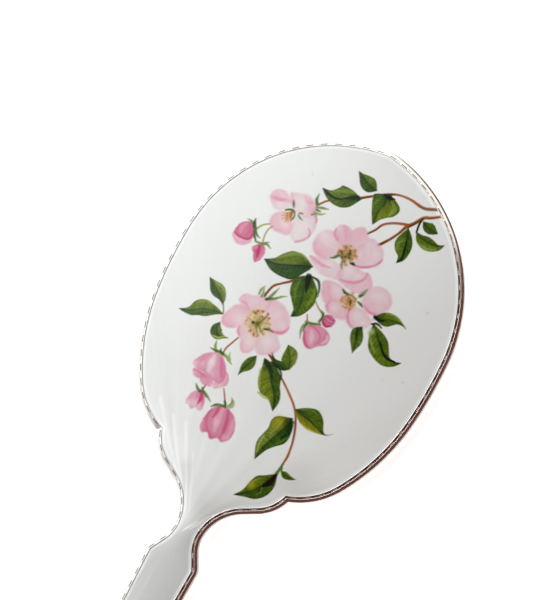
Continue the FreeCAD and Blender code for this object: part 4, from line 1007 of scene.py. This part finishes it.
    # small bud under it
    c.petals([
        ((-26, 6.4, -25.8, 9.2, -24.2, 11.6, -22, 12.2, -20, 11.4, -18.9, 8.6, -18.3, 5.8, -19.6, 4.8, -21,
         5.4, -22.6, 4.1, -24.2, 5, -25.4, 4.9), (236, 196, 210), (230, 164, 186), 0.93, 0.9),
    ])
    c.strokes([
        ((-23.8, 11.4, -24.6, 9, -25.2, 6.4), (0.8, 1.6, 0.8), (222, 140, 168), 0.7, 1),
        ((-21.6, 11.8, -20.8, 9.8, -21, 7.2), (1.6, 2, 0.6), (194, 58, 102), 0.85, 0.8),
        ((-20, 11, -19.2, 8.4, -19, 6), (0.8, 1.2, 0.6), (214, 112, 148), 0.75, 0.8),
        ((-23, 12, -22.6, 10.2, -22.8, 8.4), (1, 1.3, 0.5), (214, 112, 148), 0.7, 0.9),
        ((-25.6, 14.2, -24.2, 12.9, -22.6, 12.2), (0.3, 1.1, 1.2), (62, 92, 56), 0.95),
        ((-22.6, 14, -21.6, 12.8, -20.2, 12.4), (0.5, 1.3, 1), (82, 112, 68), 0.95),
        ((-21.2, 12.8, -19, 11.8, -16.6, 10.4), (1.1, 1.1, 0.2), (86, 116, 72), 0.95),
        ((-20.6, 12.2, -19.2, 11.4), (0.5, 0.4), SEPAL_DARK, 0.85),
    ])
    # large bud, bottom
    c.petals([
        ((-15.9, 3, -15.4, 6.6, -14, 9.4, -11.6, 11.1, -8.6, 11.4, -5, 9.6, -2.7, 6.2, -1.9, 2.4, -3, -0.7,
         -5, -2.2, -7, -1.4, -9.4, -3, -11.6, -1.4, -14, -2.4, -15.6, -0.4),
         (222, 142, 168), (214, 116, 148), 0.95, 0.95, 1.6),
    ])
    c.strokes([
        ((-10.6, 10.4, -10.6, 6, -9.6, 0.6), (1.2, 3, 1.4), (230, 168, 188), 0.75, 1.5),
        ((-12.4, 10.6, -12.3, 8, -12.8, 5.2), (0.8, 1.5, 0.6), (194, 82, 116), 0.75, 0.8),
        ((-8.4, 10.8, -6.8, 6.6, -5.9, 1.4, -6.2, -1), (0.8, 1.5, 1.6, 0.6), (196, 84, 122), 0.75, 0.9),
        ((-4.8, 8.8, -3.6, 5, -3.2, 0.8), (0.8, 2.2, 1), (230, 164, 186), 0.7, 1.3),
        ((-14.8, 8.6, -15, 4.8, -13.6, 1.2, -11.4, -1, -9.2, -2.6),
         (0.4, 0.9, 0.9, 0.8, 0.6), (208, 98, 138), 0.8, 0.6),
        ((-15.7, 2.4, -15.2, -0.6, -13.8, -2.2), (0.5, 1, 0.6), (226, 148, 174), 0.8, 0.6),
        ((-8, -1.2, -9.6, -2.8, -11, -1.6), (0.5, 1, 0.5), (208, 102, 138), 0.7, 0.7),
        ((-9.7, 16.2, -8.2, 14.4, -8, 12.8, -9.4, 11.6), (0.3, 1.6, 1.4, 0.8), (146, 170, 128), 0.9),
        ((-11.6, 13.6, -10.8, 12.6, -10.2, 11.4), (0.7, 1.1, 0.8), (62, 92, 50), 0.95),
        ((-15.6, 8.8, -14, 10.4, -12.2, 11.2, -10.4, 11.6), (0.3, 1.2, 1.1, 0.8), (72, 102, 62), 0.95),
        ((-8.9, 15.4, -8.8, 13.6, -9.6, 12.2), (0.3, 0.6, 0.4), (70, 98, 58), 0.8),
    ])
    # the brush ran thin towards the open ends of the cups
    c.dabs((236, 214, 217), [(-30.2, 21.6, 1.5, 0.55), (-28.2, 18.2, 1, 0.3), (-19.4, 16.9, 1.3, 0.45)])
    c.dabs((236, 214, 217), [(-16.2, 18, 1.2, 0.45), (-24.8, 5.8, 1.2, 0.5), (-22.2, 6.6, 1.2, 0.4)])
    c.dabs((236, 214, 217), [(-19.2, 6.2, 1, 0.45), (-4.4, 0.2, 1.5, 0.4), (-10.4, 4, 1.4, 0.3)])
    # light edges on the sepals
    for ends in [(-26.2, 33, -25.2, 30.9), (-21.2, 30.9, -17.4, 28.9), (-20.6, 12.5, -17.6, 11.2)]:
        c.stroke(ends, (0.25, 0.45), (168, 186, 128), 0.75, 0.3)
    for ends in [(-24.8, 13.3, -23.2, 12.6), (-14.6, 9.6, -12.4, 11.1), (-9.2, 15.6, -8.4, 13.4)]:
        c.stroke(ends, (0.25, 0.4), (158, 178, 120), 0.7, 0.3)


def paint_enamel_highlights_and_shade(c):
    # Painted light on the bare enamel: the white strokes are painted highlights and sheen, the grey strokes
    # and spots are painted shade.
    highlight_white = (250, 253, 252)
    c.strokes([
        # painted sheen of light along the lower left border
        ((-57, 16, -52, 5.5, -44, -2, -34, -9), (2, 5, 5, 2), highlight_white, 0.62, 4),
        # painted highlight band across the lower left of the head
        ((-33, -3, -24, -14, -14, -24), (6, 4.5, 2.5), highlight_white, 0.16, 3.5),
        # painted shade left of the neck
        ((-12.5, -18, -9, -26, -7, -34, -6.5, -41), (5, 6, 4, 2.5), (203, 206, 204), 0.55, 5),
    ])
    # painted shade on the middle of the neck and low on the right of the head
    c.spot((-1, -30), 8, (199, 202, 198), 0.5)
    c.spot((30, 0), 9, (206, 207, 200), 0.45)
    c.strokes([
        # painted highlight streaks fanning up from the neck
        ((-27.5, -2, -20.5, -12.5, -12, -24, -5, -34.5), (1.3, 1.1, 0.8, 0.4), highlight_white, 0.46, 1.2),
        ((-21.5, -2, -15.5, -13, -10, -23, -4, -35), (1.2, 1.2, 0.8, 0.4), highlight_white, 0.42, 1.2),
        ((-36, 2, -26, -10, -17, -20, -8, -31), (1.6, 1.2, 0.9, 0.5), highlight_white, 0.4, 1.4),
        ((-12.5, -12, -7.5, -23, -2.8, -34), (0.8, 0.8, 0.4), highlight_white, 0.28, 1),
        # short painted highlights on the neck
        ((-1.2, -42, 0.6, -38.8, 2.4, -35.6), (0.5, 0.8, 0.5), highlight_white, 0.9, 0.5),
        ((1, -40.4, 2.4, -37.6, 3.4, -35.8), (0.4, 0.7, 0.4), highlight_white, 0.7, 0.5),
        ((2.8, -38, 4.4, -33.6, 8, -29.2), (0.5, 0.9, 0.5), highlight_white, 0.7, 0.6),
    ])
    c.dabs((150, 152, 148), [
        (45, 85.8, 0.5, 0.3), (49.5, 55.7, 0.45, 0.3), (41.6, 52.6, 0.4, 0.25), (-24.4, 114, 0.4, 0.3),
    ])


def paint_all(canvas):
    paint_enamel_highlights_and_shade(canvas)
    paint_twigs(canvas)
    canvas.wet = 0.32
    paint_flower_two(canvas)
    paint_flower_one(canvas)
    paint_flower_three(canvas)
    paint_flower_four(canvas)
    canvas.wet = 0.2
    paint_buds(canvas)
    canvas.wet = 0.0
    paint_leaves(canvas)
    paint_leaf_lights(canvas)


# ---------------------------------------------------------------- enamel panel
# The spray is laid out on a plane tipped about the long axis, and carried square to it onto the dome.
LAYOUT_TIP = math.radians(11.0)
LAYOUT_Z = 8.0
FAN_CENTRE = (-3.0, -44.0)


PAINTING_ROW, HANDLE_ROW = 0.3, 0.7
PAINTED_TO = -24.0
END_ROWS = np.array([0.0, 0.01, 0.04, 0.09, 0.16, 0.26, 0.4, 0.6, 0.85])
TOP_ROWS_END, TIP_ROWS_END = 1.1, 1.2
COLUMNS, QUICK_COLUMNS = 341, 181


def row_heights():
    """Heights along the mirror, close together where the painting is and near both ends."""
    top, tip = enamel_side[0, 1], enamel_side[-1, 1]
    corner = inset_steps(ENAMEL_INSET)[len(HEAD_RUNS) - 1]["end"][1]
    fine = PAINTING_ROW
    upper = np.arange(top - TOP_ROWS_END, corner + fine / 2, -fine)
    lower = np.arange(corner - fine, PAINTED_TO, -fine)
    handle = np.arange(lower[-1] - HANDLE_ROW, tip + TIP_ROWS_END, -HANDLE_ROW)
    return np.concatenate([top - END_ROWS, upper, [corner], lower, handle, tip + END_ROWS[::-1]])


EDGE_REACH = 9.0
EDGE_SEARCH = EDGE_REACH + 5.0
EDGE_ROLL, ROLL_WIDTH = 0.04, 1.3
EDGE_BUNCHING = 0.10
GROUND = np.array([0.886, 0.899, 0.888])
# colour of the edge band: the cyan tint of the thicker enamel there, lightened into a painted glow of light
EDGE_TINT_AND_PAINTED_GLOW = np.array([0.955, 0.995, 0.985])


def edge_distance(flat, near_edge):
    """Distance of each marked point from the enamel's outline; the others get the full reach."""
    tree = KDTree(len(enamel_side) * 2)
    for k, (x, y) in enumerate(enamel_side):
        tree.insert((x, y, 0.0), 2 * k)
        tree.insert((-x, y, 0.0), 2 * k + 1)
    tree.balance()
    edge = np.full(len(flat), EDGE_REACH)
    for k in np.nonzero(near_edge)[0]:
        edge[k] = tree.find((flat[k, 0], flat[k, 1], 0.0))[2]
    return edge


def enamel_sheet():
    """Points of the crowned sheet, row by row, with their distance from the outline, and its faces."""
    rows = row_heights()
    columns = COLUMNS
    u = np.linspace(-1.0, 1.0, columns)
    spread = (1.0 + EDGE_BUNCHING) * u - EDGE_BUNCHING * u ** 3
    widths = half_width(rows)
    widths[0] = widths[-1] = 0.0
    x = widths[:, None] * spread[None, :]
    y = np.repeat(rows[:, None], columns, axis=1)
    flat = np.column_stack([x.ravel(), y.ravel()])
    near_edge = np.repeat(widths, columns) - np.abs(flat[:, 0]) < EDGE_SEARCH
    edge = edge_distance(flat, near_edge)
    roll = EDGE_ROLL * np.clip((ROLL_WIDTH - edge) / ROLL_WIDTH, 0.0, 1.0) ** 2
    z = crown_z(x, y).ravel() - roll
    # the corner that a quad starts at sets the diagonal that it is split along
    faces = [face[-1:] + face[:-1] for face in grid_faces(len(rows), columns)]
    return np.column_stack([flat, z]), edge, faces


def ground_colours(flat, edge):
    """White enamel, dimmer on the handle, brighter along its edge where a painted glow of light lies over the
    enamel's cyan tint, with soft rays fanning from the neck.
    """
    ground = np.tile(GROUND, (len(flat), 1))
    ground = ground * (1.0 - 0.10 * smoothstep(-34.0, -46.0, flat[:, 1]))[:, None]
    # band along the edge: partly the enamel's own cyan tint, partly a painted glow of light
    glow = np.exp(-((edge - 0.6) / 0.55) ** 2)[:, None]
    ground = ground * (1 - 0.75 * glow) + EDGE_TINT_AND_PAINTED_GLOW * 0.75 * glow
    fan = flat - np.array(FAN_CENTRE)
    bearing = np.arctan2(fan[:, 0], fan[:, 1])
    far = np.hypot(fan[:, 0], fan[:, 1])
    rays = np.sin(bearing * 26.0 + 0.7 * np.sin(bearing * 7.0)) * 0.6 + np.sin(bearing * 61.0 + 1.3) * 0.4
    window = smoothstep(6.0, 24.0, far) * smoothstep(78.0, 34.0, far) * smoothstep(0.05, -0.35, bearing)
    return ground * (1.0 + 0.022 * (rays * window)[:, None])


def to_linear(colour):
    """Linear light for a screen colour, with the tones deepened a little to offset the light that the clear
    coat reflects over them.
    """
    colour = np.clip(colour, 0.0, 1.0)
    linear = np.where(colour <= 0.04045, colour / 12.92, ((colour + 0.055) / 1.055) ** 2.4)
    return np.clip(linear * 1.03 - 0.026, 0.0015, 1.0)


def build_enamel():
    points, edge, faces = enamel_sheet()
    piece = new_mesh("enamel_skin", points, faces)
    across = points[:, 0] * math.cos(LAYOUT_TIP) - (points[:, 2] - LAYOUT_Z) * math.sin(LAYOUT_TIP)
    canvas = Canvas(np.column_stack([across, points[:, 1]]), ground_colours(points[:, :2], edge))
    paint_all(canvas)
    linear = np.column_stack([to_linear(canvas.colour), np.ones(len(points))])
    layer = piece.data.color_attributes.new("painting", "FLOAT_COLOR", "POINT")
    layer.data.foreach_set("color", linear.astype(np.float32).ravel())
    point_value(piece, "cover", canvas.cover)
    return piece


# ---------------------------------------------------------------- engraved border
BORDER_PROFILE = [
    (2.62, 7.15), (2.62, 7.70), (2.60, 7.80), (2.55, 7.87), (2.48, 7.90), (2.40, 7.90),
    (2.32, 7.885), (2.26, 7.875), (2.20, 7.865), (2.14, 7.853), (2.08, 7.842), (2.01, 7.83), (1.93, 7.813),
    (1.85, 7.797), (1.78, 7.783), (1.72, 7.772), (1.66, 7.760), (1.60, 7.749), (1.52, 7.735), (1.42, 7.716),
    (1.35, 7.702), (1.30, 7.735), (1.20, 7.720), (1.08, 7.695), (0.94, 7.655), (0.78, 7.61),
    (0.60, 7.55), (0.42, 7.47), (0.26, 7.38), (0.12, 7.28), (0.04, 7.20), (0.0, 7.15), (0.0, 7.12),
]
ENGRAVED_BAND = (1.4, 2.45)
BAND_MIDDLE = 1.93
PATTERN_LENGTH = 6.05
DASH_START, DASH_LENGTH = 0.25, 3.2
MARK_GAP, MARK_SPACING, MARK_COUNT = 0.62, 0.66, 3
SOFT_END = 0.30
DASH_DEPTH = 0.022
MARK_DEPTH = 0.09
SHARP_EDGE = math.radians(22.0)
BORDER_STEP, QUICK_STEP = 0.15, 0.30


def engraving(along, inset, period):
    """Depths, 0 to 1, of the repeating long dash and of the round punch marks after it."""
    if not ENGRAVED_BAND[0] < inset < ENGRAVED_BAND[1]:
        return np.zeros((2, len(along)))
    across = inset - BAND_MIDDLE
    place = along % period
    end = DASH_START + DASH_LENGTH
    dash = smoothstep(0.0, SOFT_END, place - DASH_START) * smoothstep(0.0, SOFT_END, end - place)
    dash = dash * smoothstep(0.21, 0.11, np.abs(across))
    marks = np.zeros_like(place)
    for k in range(MARK_COUNT):
        centre = end + MARK_GAP + MARK_SPACING * k
        marks = np.maximum(marks, smoothstep(0.30, 0.04, np.hypot(place - centre, across)))
    return dash, marks


def build_border():
    counts = step_counts(BORDER_STEP)
    middle = full_loop(BAND_MIDDLE, counts)
    steps = np.hypot(*(np.roll(middle, -1, axis=0) - middle).T)
    along = np.concatenate([[0.0], np.cumsum(steps)[:-1]])
    total = steps.sum()
    period = total / round(total / PATTERN_LENGTH)
    columns = []
    depths = []
    for inset, z in BORDER_PROFILE:
        dash, marks = engraving(along, inset, period)
        heights = z - DASH_DEPTH * dash - MARK_DEPTH * marks
        columns.append(np.column_stack([full_loop(inset, counts), heights]))
        depths.append(dash)
    points = np.stack(columns, axis=1).reshape(-1, 3)
    faces = grid_faces(len(middle), len(BORDER_PROFILE), closed_rows=True)
    piece = new_mesh("border_engraved", points, faces)
    piece.data.set_sharp_from_angle(angle=SHARP_EDGE)
    point_value(piece, "engraved", np.stack(depths, axis=1))
    return piece


# ---------------------------------------------------------------- materials
class Nodes:
    """Short way to write a node material."""

    def __init__(self, name):
        self.material = bpy.data.materials.new(name)
        self.material.use_nodes = True
        self.tree = self.material.node_tree
        self.shader = self.tree.nodes["Principled BSDF"]
        self.place = self.add("ShaderNodeTexCoord").outputs["Object"]

    def add(self, kind, **settings):
        node = self.tree.nodes.new(kind)
        for key, value in settings.items():
            setattr(node, key, value)
        return node

    def put(self, socket, value):
        if isinstance(value, bpy.types.NodeSocket):
            self.tree.links.new(value, socket)
        else:
            socket.default_value = value

    def set(self, **values):
        for key, value in values.items():
            self.put(self.shader.inputs[key.replace("_", " ")], value)

    def attribute(self, name, output="Fac"):
        return self.add("ShaderNodeAttribute", attribute_name=name).outputs[output]

    def math(self, operation, *values):
        node = self.add("ShaderNodeMath", operation=operation)
        for socket, value in zip(node.inputs, values):
            self.put(socket, value)
        return node.outputs[0]

    def noise(self, scale, detail, rough, place=None):
        node = self.add("ShaderNodeTexNoise")
        self.put(node.inputs["Vector"], self.place if place is None else place)
        node.inputs["Scale"].default_value = scale
        node.inputs["Detail"].default_value = detail
        node.inputs["Roughness"].default_value = rough
        return node.outputs["Fac"]

    def stretched(self, scale, turn=0.0):
        node = self.add("ShaderNodeMapping")
        self.put(node.inputs["Vector"], self.place)
        node.inputs["Scale"].default_value = scale
        node.inputs["Rotation"].default_value = (0.0, 0.0, math.radians(turn))
        return node.outputs["Vector"]

    def wave(self, scale, place, distortion):
        node = self.add("ShaderNodeTexWave", bands_direction="X")
        self.put(node.inputs["Vector"], place)
        node.inputs["Scale"].default_value = scale
        node.inputs["Distortion"].default_value = distortion
        return node.outputs["Fac"]

    def remap(self, value, low, high, to_low, to_high):
        node = self.add("ShaderNodeMapRange")
        for socket, item in zip(node.inputs, (value, low, high, to_low, to_high)):
            self.put(socket, item)
        return node.outputs[0]

    def mix(self, factor, one, two, blend="MIX"):
        node = self.add("ShaderNodeMix", data_type="RGBA", blend_type=blend)
        self.put(node.inputs["Factor"], factor)
        self.put(node.inputs[6], one)
        self.put(node.inputs[7], two)
        return node.outputs[2]

    def bump(self, height, strength, distance_mm):
        node = self.add("ShaderNodeBump")
        self.put(node.inputs["Height"], height)
        node.inputs["Strength"].default_value = strength
        node.inputs["Distance"].default_value = distance_mm * MM
        return node.outputs["Normal"]


GLASS_INDEX = 1.52


def rgba(r, g, b):
    return (r, g, b, 1.0)


def enamel_material():
    n = Nodes("enamel_over_guilloche")
    colour = n.attribute("painting", "Color")
    clouds = n.noise(38.0, 4.0, 0.55)
    cloudy = n.mix(n.remap(clouds, 0.3, 0.7, 0.0, 0.10), colour, rgba(0.84, 0.86, 0.86), "MULTIPLY")
    specks = n.noise(900.0, 2.0, 0.6)
    tone = n.mix(n.remap(specks, 0.70, 0.80, 0.0, 0.10), cloudy, rgba(0.70, 0.72, 0.70), "MULTIPLY")
    # engine turning under the enamel: fine lines fanning from the neck, slanting lines crossed on the handle
    apart = n.add("ShaderNodeSeparateXYZ")
    n.put(apart.inputs[0], n.place)
    dx = n.math("SUBTRACT", apart.outputs["X"], FAN_CENTRE[0] * MM)
    dy = n.math("SUBTRACT", apart.outputs["Y"], FAN_CENTRE[1] * MM)
    bearing = n.math("ARCTAN2", dx, dy)
    fan = n.math("SINE", n.math("MULTIPLY", bearing, 150.0))
    broad = n.math("SINE", n.math("MULTIPLY", bearing, 26.0))
    fan = n.math("ADD", fan, n.math("MULTIPLY", broad, 3.0))
    slant = n.wave(260.0, n.stretched((1.0, 1.0, 1.0), 28.0), 0.6)
    cross = n.wave(260.0, n.stretched((1.0, 1.0, 1.0), -28.0), 0.6)
    handle = n.math("ADD", slant, cross)
    on_head = n.remap(apart.outputs["Y"], -0.046, -0.034, 0.0, 1.0)
    lattice = n.math("MULTIPLY", handle, n.remap(on_head, 0.0, 1.0, 0.06, 0.0))
    n.set(Base_Color=n.mix(lattice, tone, rgba(0.55, 0.56, 0.56), "MULTIPLY"))
    pattern = n.add("ShaderNodeMix", data_type="FLOAT")
    n.put(pattern.inputs[0], on_head)
    n.put(pattern.inputs[2], n.math("MULTIPLY", handle, 2.0))
    n.put(pattern.inputs[3], fan)
    cover = n.attribute("cover")
    bare = n.math("SUBTRACT", 1.0, n.math("MULTIPLY", cover, 0.8))
    relief = n.math("MULTIPLY", pattern.outputs[0], bare)
    base_normal = n.bump(relief, 0.10, 0.06)
    skin = n.noise(140.0, 2.0, 0.4)
    coat_normal = n.bump(skin, 0.06, 0.05)
    n.set(Normal=base_normal, Coat_Normal=coat_normal)
    n.set(Roughness=n.remap(clouds, 0.3, 0.7, 0.42, 0.52))
    s = n.shader.inputs
    s["Specular IOR Level"].default_value = 0.05
    s["Coat Weight"].default_value = 1.0
    s["Coat Roughness"].default_value = 0.035
    s["Coat IOR"].default_value = GLASS_INDEX
    return n.material


def silver_material(name, tarnish, polish, attribute=None, clean=(0.86, 0.83, 0.79), rim=None):
    n = Nodes(name)
    grime = n.noise(120.0, 4.0, 0.6)
    streak = n.noise(1.0, 3.0, 0.55, n.stretched((60.0, 60.0, 60.0), 18.0))
    bright = rgba(*clean)
    if rim:
        # painted shade: the upright sides get a far darker colour than the flat faces
        facing = n.add("ShaderNodeSeparateXYZ")
        n.put(facing.inputs[0], n.add("ShaderNodeNewGeometry").outputs["True Normal"])
        flat = n.remap(n.math("ABSOLUTE", facing.outputs["Z"]), 0.25, 0.75, 0.0, 1.0)
        bright = n.mix(flat, rgba(*rim), rgba(*clean))
    colour = n.mix(n.remap(grime, 0.42, 0.72, 0.0, tarnish), bright, rgba(0.60, 0.50, 0.42))
    roughness = n.remap(streak, 0.25, 0.75, polish * 0.7, polish * 1.7)
    if attribute:
        cut = n.attribute(attribute)
        colour = n.mix(n.remap(cut, 0.05, 0.5, 0.0, 0.93), colour, rgba(0.022, 0.014, 0.012))
        roughness = n.math("ADD", roughness, n.math("MULTIPLY", cut, 0.30))
    fine = n.noise(1.0, 2.0, 0.5, n.stretched((2600.0, 320.0, 900.0), 31.0))
    n.set(Base_Color=colour, Roughness=roughness, Normal=n.bump(fine, 0.10, 0.02))
    n.shader.inputs["Metallic"].default_value = 1.0
    return n.material


def glass_material():
    n = Nodes("bevelled_plate_glass")
    dust = n.noise(300.0, 3.0, 0.6)
    n.set(Base_Color=n.mix(n.remap(dust, 0.5, 0.8, 0.0, 0.3), rgba(0.95, 0.99, 0.97), rgba(0.86, 0.93, 0.90)))
    n.set(Roughness=n.remap(dust, 0.3, 0.8, 0.0, 0.05))
    n.shader.inputs["Transmission Weight"].default_value = 1.0
    n.shader.inputs["IOR"].default_value = GLASS_INDEX
    return n.material


def silvering_material():
    n = Nodes("mirror_silvering")
    age = n.noise(45.0, 5.0, 0.65)
    spots = n.remap(age, 0.62, 0.80, 0.0, 0.5)
    n.set(Base_Color=n.mix(spots, rgba(0.93, 0.94, 0.94), rgba(0.62, 0.58, 0.52)))
    n.set(Roughness=n.remap(age, 0.6, 0.85, 0.015, 0.22))
    n.shader.inputs["Metallic"].default_value = 1.0
    return n.material


def fibre_material(name, light, dark, scale, rough):
    n = Nodes(name)
    fibres = n.noise(scale, 6.0, 0.75)
    clump = n.noise(scale / 9.0, 3.0, 0.5)
    colour = n.mix(n.remap(fibres, 0.35, 0.65, 0.0, 1.0), rgba(*dark), rgba(*light))
    colour = n.mix(n.remap(clump, 0.3, 0.7, 0.0, 0.35), colour, rgba(*dark))
    n.set(Base_Color=colour, Roughness=rough, Normal=n.bump(fibres, 0.7, 0.25))
    return n.material


def wood_material(name, light, dark):
    n = Nodes(name)
    grain = n.wave(30.0, n.stretched((9.0, 0.7, 9.0), 2.0), 5.0)
    pores = n.noise(1.0, 4.0, 0.6, n.stretched((1500.0, 60.0, 1500.0)))
    colour = n.mix(grain, rgba(*light), rgba(*dark))
    colour = n.mix(n.remap(pores, 0.55, 0.75, 0.0, 0.5), colour, rgba(*(v * 0.5 for v in dark)))
    n.set(Base_Color=colour, Roughness=n.remap(pores, 0.3, 0.7, 0.5, 0.7), Normal=n.bump(pores, 0.4, 0.1))
    return n.material


def brushed_metal(name, light, dark, rough):
    n = Nodes(name)
    lines = n.noise(1.0, 3.0, 0.6, n.stretched((2400.0, 90.0, 2400.0)))
    stain = n.noise(70.0, 4.0, 0.6)
    colour = n.mix(n.remap(stain, 0.45, 0.75, 0.0, 0.6), rgba(*light), rgba(*dark))
    roughness = n.remap(lines, 0.3, 0.7, rough * 0.8, rough * 1.3)
    n.set(Base_Color=colour, Roughness=roughness, Normal=n.bump(lines, 0.3, 0.03))
    n.shader.inputs["Metallic"].default_value = 1.0
    return n.material


def counter_enamel_material():
    n = Nodes("plain_counter_enamel")
    mottle = n.noise(80.0, 5.0, 0.6)
    n.set(Base_Color=n.mix(mottle, rgba(0.42, 0.50, 0.48), rgba(0.62, 0.68, 0.66)))
    n.set(Roughness=n.remap(mottle, 0.3, 0.7, 0.2, 0.35), Normal=n.bump(mottle, 0.2, 0.1))
    return n.material


def floor_material():
    n = Nodes("pale_table")
    grain = n.noise(25.0, 4.0, 0.6)
    pale = n.remap(grain, 0.3, 0.7, 0.0, 1.0)
    n.set(Base_Color=n.mix(pale, rgba(0.95, 0.95, 0.95), rgba(0.965, 0.965, 0.965)))
    n.set(Roughness=0.75, Normal=n.bump(grain, 0.05, 0.1))
    n.shader.inputs["Specular IOR Level"].default_value = 0.1
    n.shader.inputs["Emission Color"].default_value = (1, 1, 1, 1)
    n.shader.inputs["Emission Strength"].default_value = 0.80
    return n.material


def dress(piece, material):
    piece.data.materials.clear()
    piece.data.materials.append(material)


# ---------------------------------------------------------------- the object
enamel = build_enamel()
dress(enamel, enamel_material())
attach(enamel, "root")
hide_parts("enamel_panel")

border = build_border()
dress(border, silver_material("engraved_silver", 0.30, 0.14, "engraved"))
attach(border, "root")
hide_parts("engraved_border")

looks = {
    # the rim colour paints shade onto the shell's upright sides
    "front_shell": silver_material(
        "stamped_silver", 0.20, 0.16, clean=(0.83, 0.79, 0.74), rim=(0.30, 0.26, 0.22)),
    "glass_bezel": silver_material("bezel_silver", 0.30, 0.12),
    "plate_bearer": silver_material("inner_silver", 0.60, 0.30),
    "back_plate": silver_material("engine_turned_silver", 0.20, 0.20),
    "counter_enamel": counter_enamel_material(),
    "mirror_glass": glass_material(),
    "silvering": silvering_material(),
    "packing_felt": fibre_material("green_felt", (0.13, 0.20, 0.10), (0.05, 0.09, 0.04), 900.0, 0.95),
    "backing_board": wood_material("thin_board", (0.60, 0.43, 0.26), (0.42, 0.28, 0.15)),
    "dome_packing": fibre_material("paper_pulp", (0.66, 0.61, 0.52), (0.45, 0.40, 0.33), 500.0, 0.95),
    "edge_slips": fibre_material("cork", (0.58, 0.40, 0.24), (0.30, 0.18, 0.10), 700.0, 0.85),
    "board_sprigs": brushed_metal("sprig_brass", (0.78, 0.60, 0.28), (0.40, 0.28, 0.12), 0.35),
    "handle_core": wood_material("beech_core", (0.62, 0.44, 0.28), (0.48, 0.31, 0.18)),
    "neck_tang": brushed_metal("tang_steel", (0.50, 0.50, 0.52), (0.26, 0.20, 0.16), 0.40),
    "tang_rivets": brushed_metal("rivet_brass", (0.74, 0.56, 0.26), (0.42, 0.30, 0.14), 0.35),
}
for node, material in looks.items():
    dress(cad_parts[node], material)
# the silvering is bedded a hair into the back of the glass, so the two faces do not coincide
BED_DEPTH = 0.01
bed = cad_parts["silvering"].modifiers.new("bedding", "DISPLACE")
bed.strength = BED_DEPTH * MM
bed.mid_level = 0.0

# ---------------------------------------------------------------- table, light and camera
TABLE_SIZE = 6000.0
far = TABLE_SIZE / 2.0
corners = [(-far, -far, 0), (far, -far, 0), (far, far, 0), (-far, far, 0)]
floor = new_mesh("table_top", corners, [(0, 1, 2, 3)], False)
dress(floor, floor_material())


# Colour of the studio against how far a direction faces the upper left, from -1 to 1.
SKY = [
    (-1.00, (0.140, 0.056, 0.042)), (0.00, (0.120, 0.055, 0.043)), (0.12, (0.15, 0.10, 0.09)),
    (0.20, (0.30, 0.29, 0.28)), (0.30, (1.02, 1.04, 1.05)), (0.45, (1.25, 1.27, 1.28)),
    (0.70, (2.15, 2.17, 2.19)), (0.86, (5.00, 5.05, 5.10)), (1.00, (5.00, 5.05, 5.10)),
]
UPPER_LEFT = (-0.965, 0.26, 0.0)


def build_world():
    """Pale studio on the upper left, shading to a dim warm brown on the lower right."""
    world = bpy.data.worlds.new("studio")
    bpy.context.scene.world = world
    world.use_nodes = True
    tree = world.node_tree
    background = tree.nodes["Background"]
    place = tree.nodes.new("ShaderNodeTexCoord")
    facing = tree.nodes.new("ShaderNodeVectorMath")
    facing.operation = "DOT_PRODUCT"
    tree.links.new(place.outputs["Generated"], facing.inputs[0])
    facing.inputs[1].default_value = UPPER_LEFT
    ramp = tree.nodes.new("ShaderNodeValToRGB")
    shift = tree.nodes.new("ShaderNodeMapRange")
    tree.links.new(facing.outputs["Value"], shift.inputs[0])
    shift.inputs[1].default_value = -1.0
    shift.inputs[2].default_value = 1.0
    tree.links.new(shift.outputs[0], ramp.inputs[0])
    steps = ramp.color_ramp.elements
    steps[0].color = rgba(*SKY[0][1])
    steps[-1].color = rgba(*SKY[-1][1])
    for facing_left, level in SKY[1:-1]:
        steps.new(0.5 + 0.5 * facing_left).color = rgba(*level)
    tree.links.new(ramp.outputs[0], background.inputs[0])
    background.inputs[1].default_value = 1.0


def aim(thing, target):
    way = Vector(target) - thing.location
    thing.rotation_euler = way.to_track_quat("-Z", "Y").to_euler()


def add_light(name, where, target, width, depth, power, colour):
    data = bpy.data.lights.new(name, "AREA")
    data.shape = "ELLIPSE"
    data.size = width
    data.size_y = depth
    data.energy = power
    data.color = colour
    lamp = bpy.data.objects.new(name, data)
    lamp.location = where
    bpy.context.scene.collection.objects.link(lamp)
    aim(lamp, target)
    return lamp


build_world()
LIT_SPOT = (0.0, 0.03, 0.0)
softbox = add_light("key_softbox", (-1.50, 0.64, 0.55), LIT_SPOT, 1.3, 1.3, 16.0, (0.955, 1.0, 1.055))
softbox.visible_glossy = False
# a strip that only shows in the silver, along the upper edge of the head
strip = add_light("top_strip", (-0.06, 0.74, 1.30), LIT_SPOT, 1.0, 0.62, 1.7, (1.0, 0.99, 0.98))
strip.visible_diffuse = False

CAMERA_DISTANCE_M = 2.0
CAMERA_TILT = (0.190, 0.0)
ROLL_DEGREES = 28.03
AIM_POINT_M = (-0.0143, 0.0600, 0.0085)
LENS, SENSOR_WIDTH = 288.0, 36.0
target = Vector(AIM_POINT_M)
lean = Vector((CAMERA_TILT[0], CAMERA_TILT[1], 0.0))
out = Vector((lean.x, lean.y, math.sqrt(1.0 - lean.length_squared)))
camera_data = bpy.data.cameras.new("camera")
camera_data.lens = LENS
camera_data.sensor_width = SENSOR_WIDTH
camera = bpy.data.objects.new("camera", camera_data)
bpy.context.scene.collection.objects.link(camera)
right = Vector((math.cos(math.radians(ROLL_DEGREES)), math.sin(math.radians(ROLL_DEGREES)), 0.0))
right = (right - out * right.dot(out)).normalized()
up = out.cross(right)
turn = Matrix((right, up, out)).transposed().to_4x4()
camera.matrix_world = Matrix.Translation(target + out * CAMERA_DISTANCE_M) @ turn
bpy.context.scene.camera = camera
bpy.context.scene.view_settings.view_transform = "Standard"
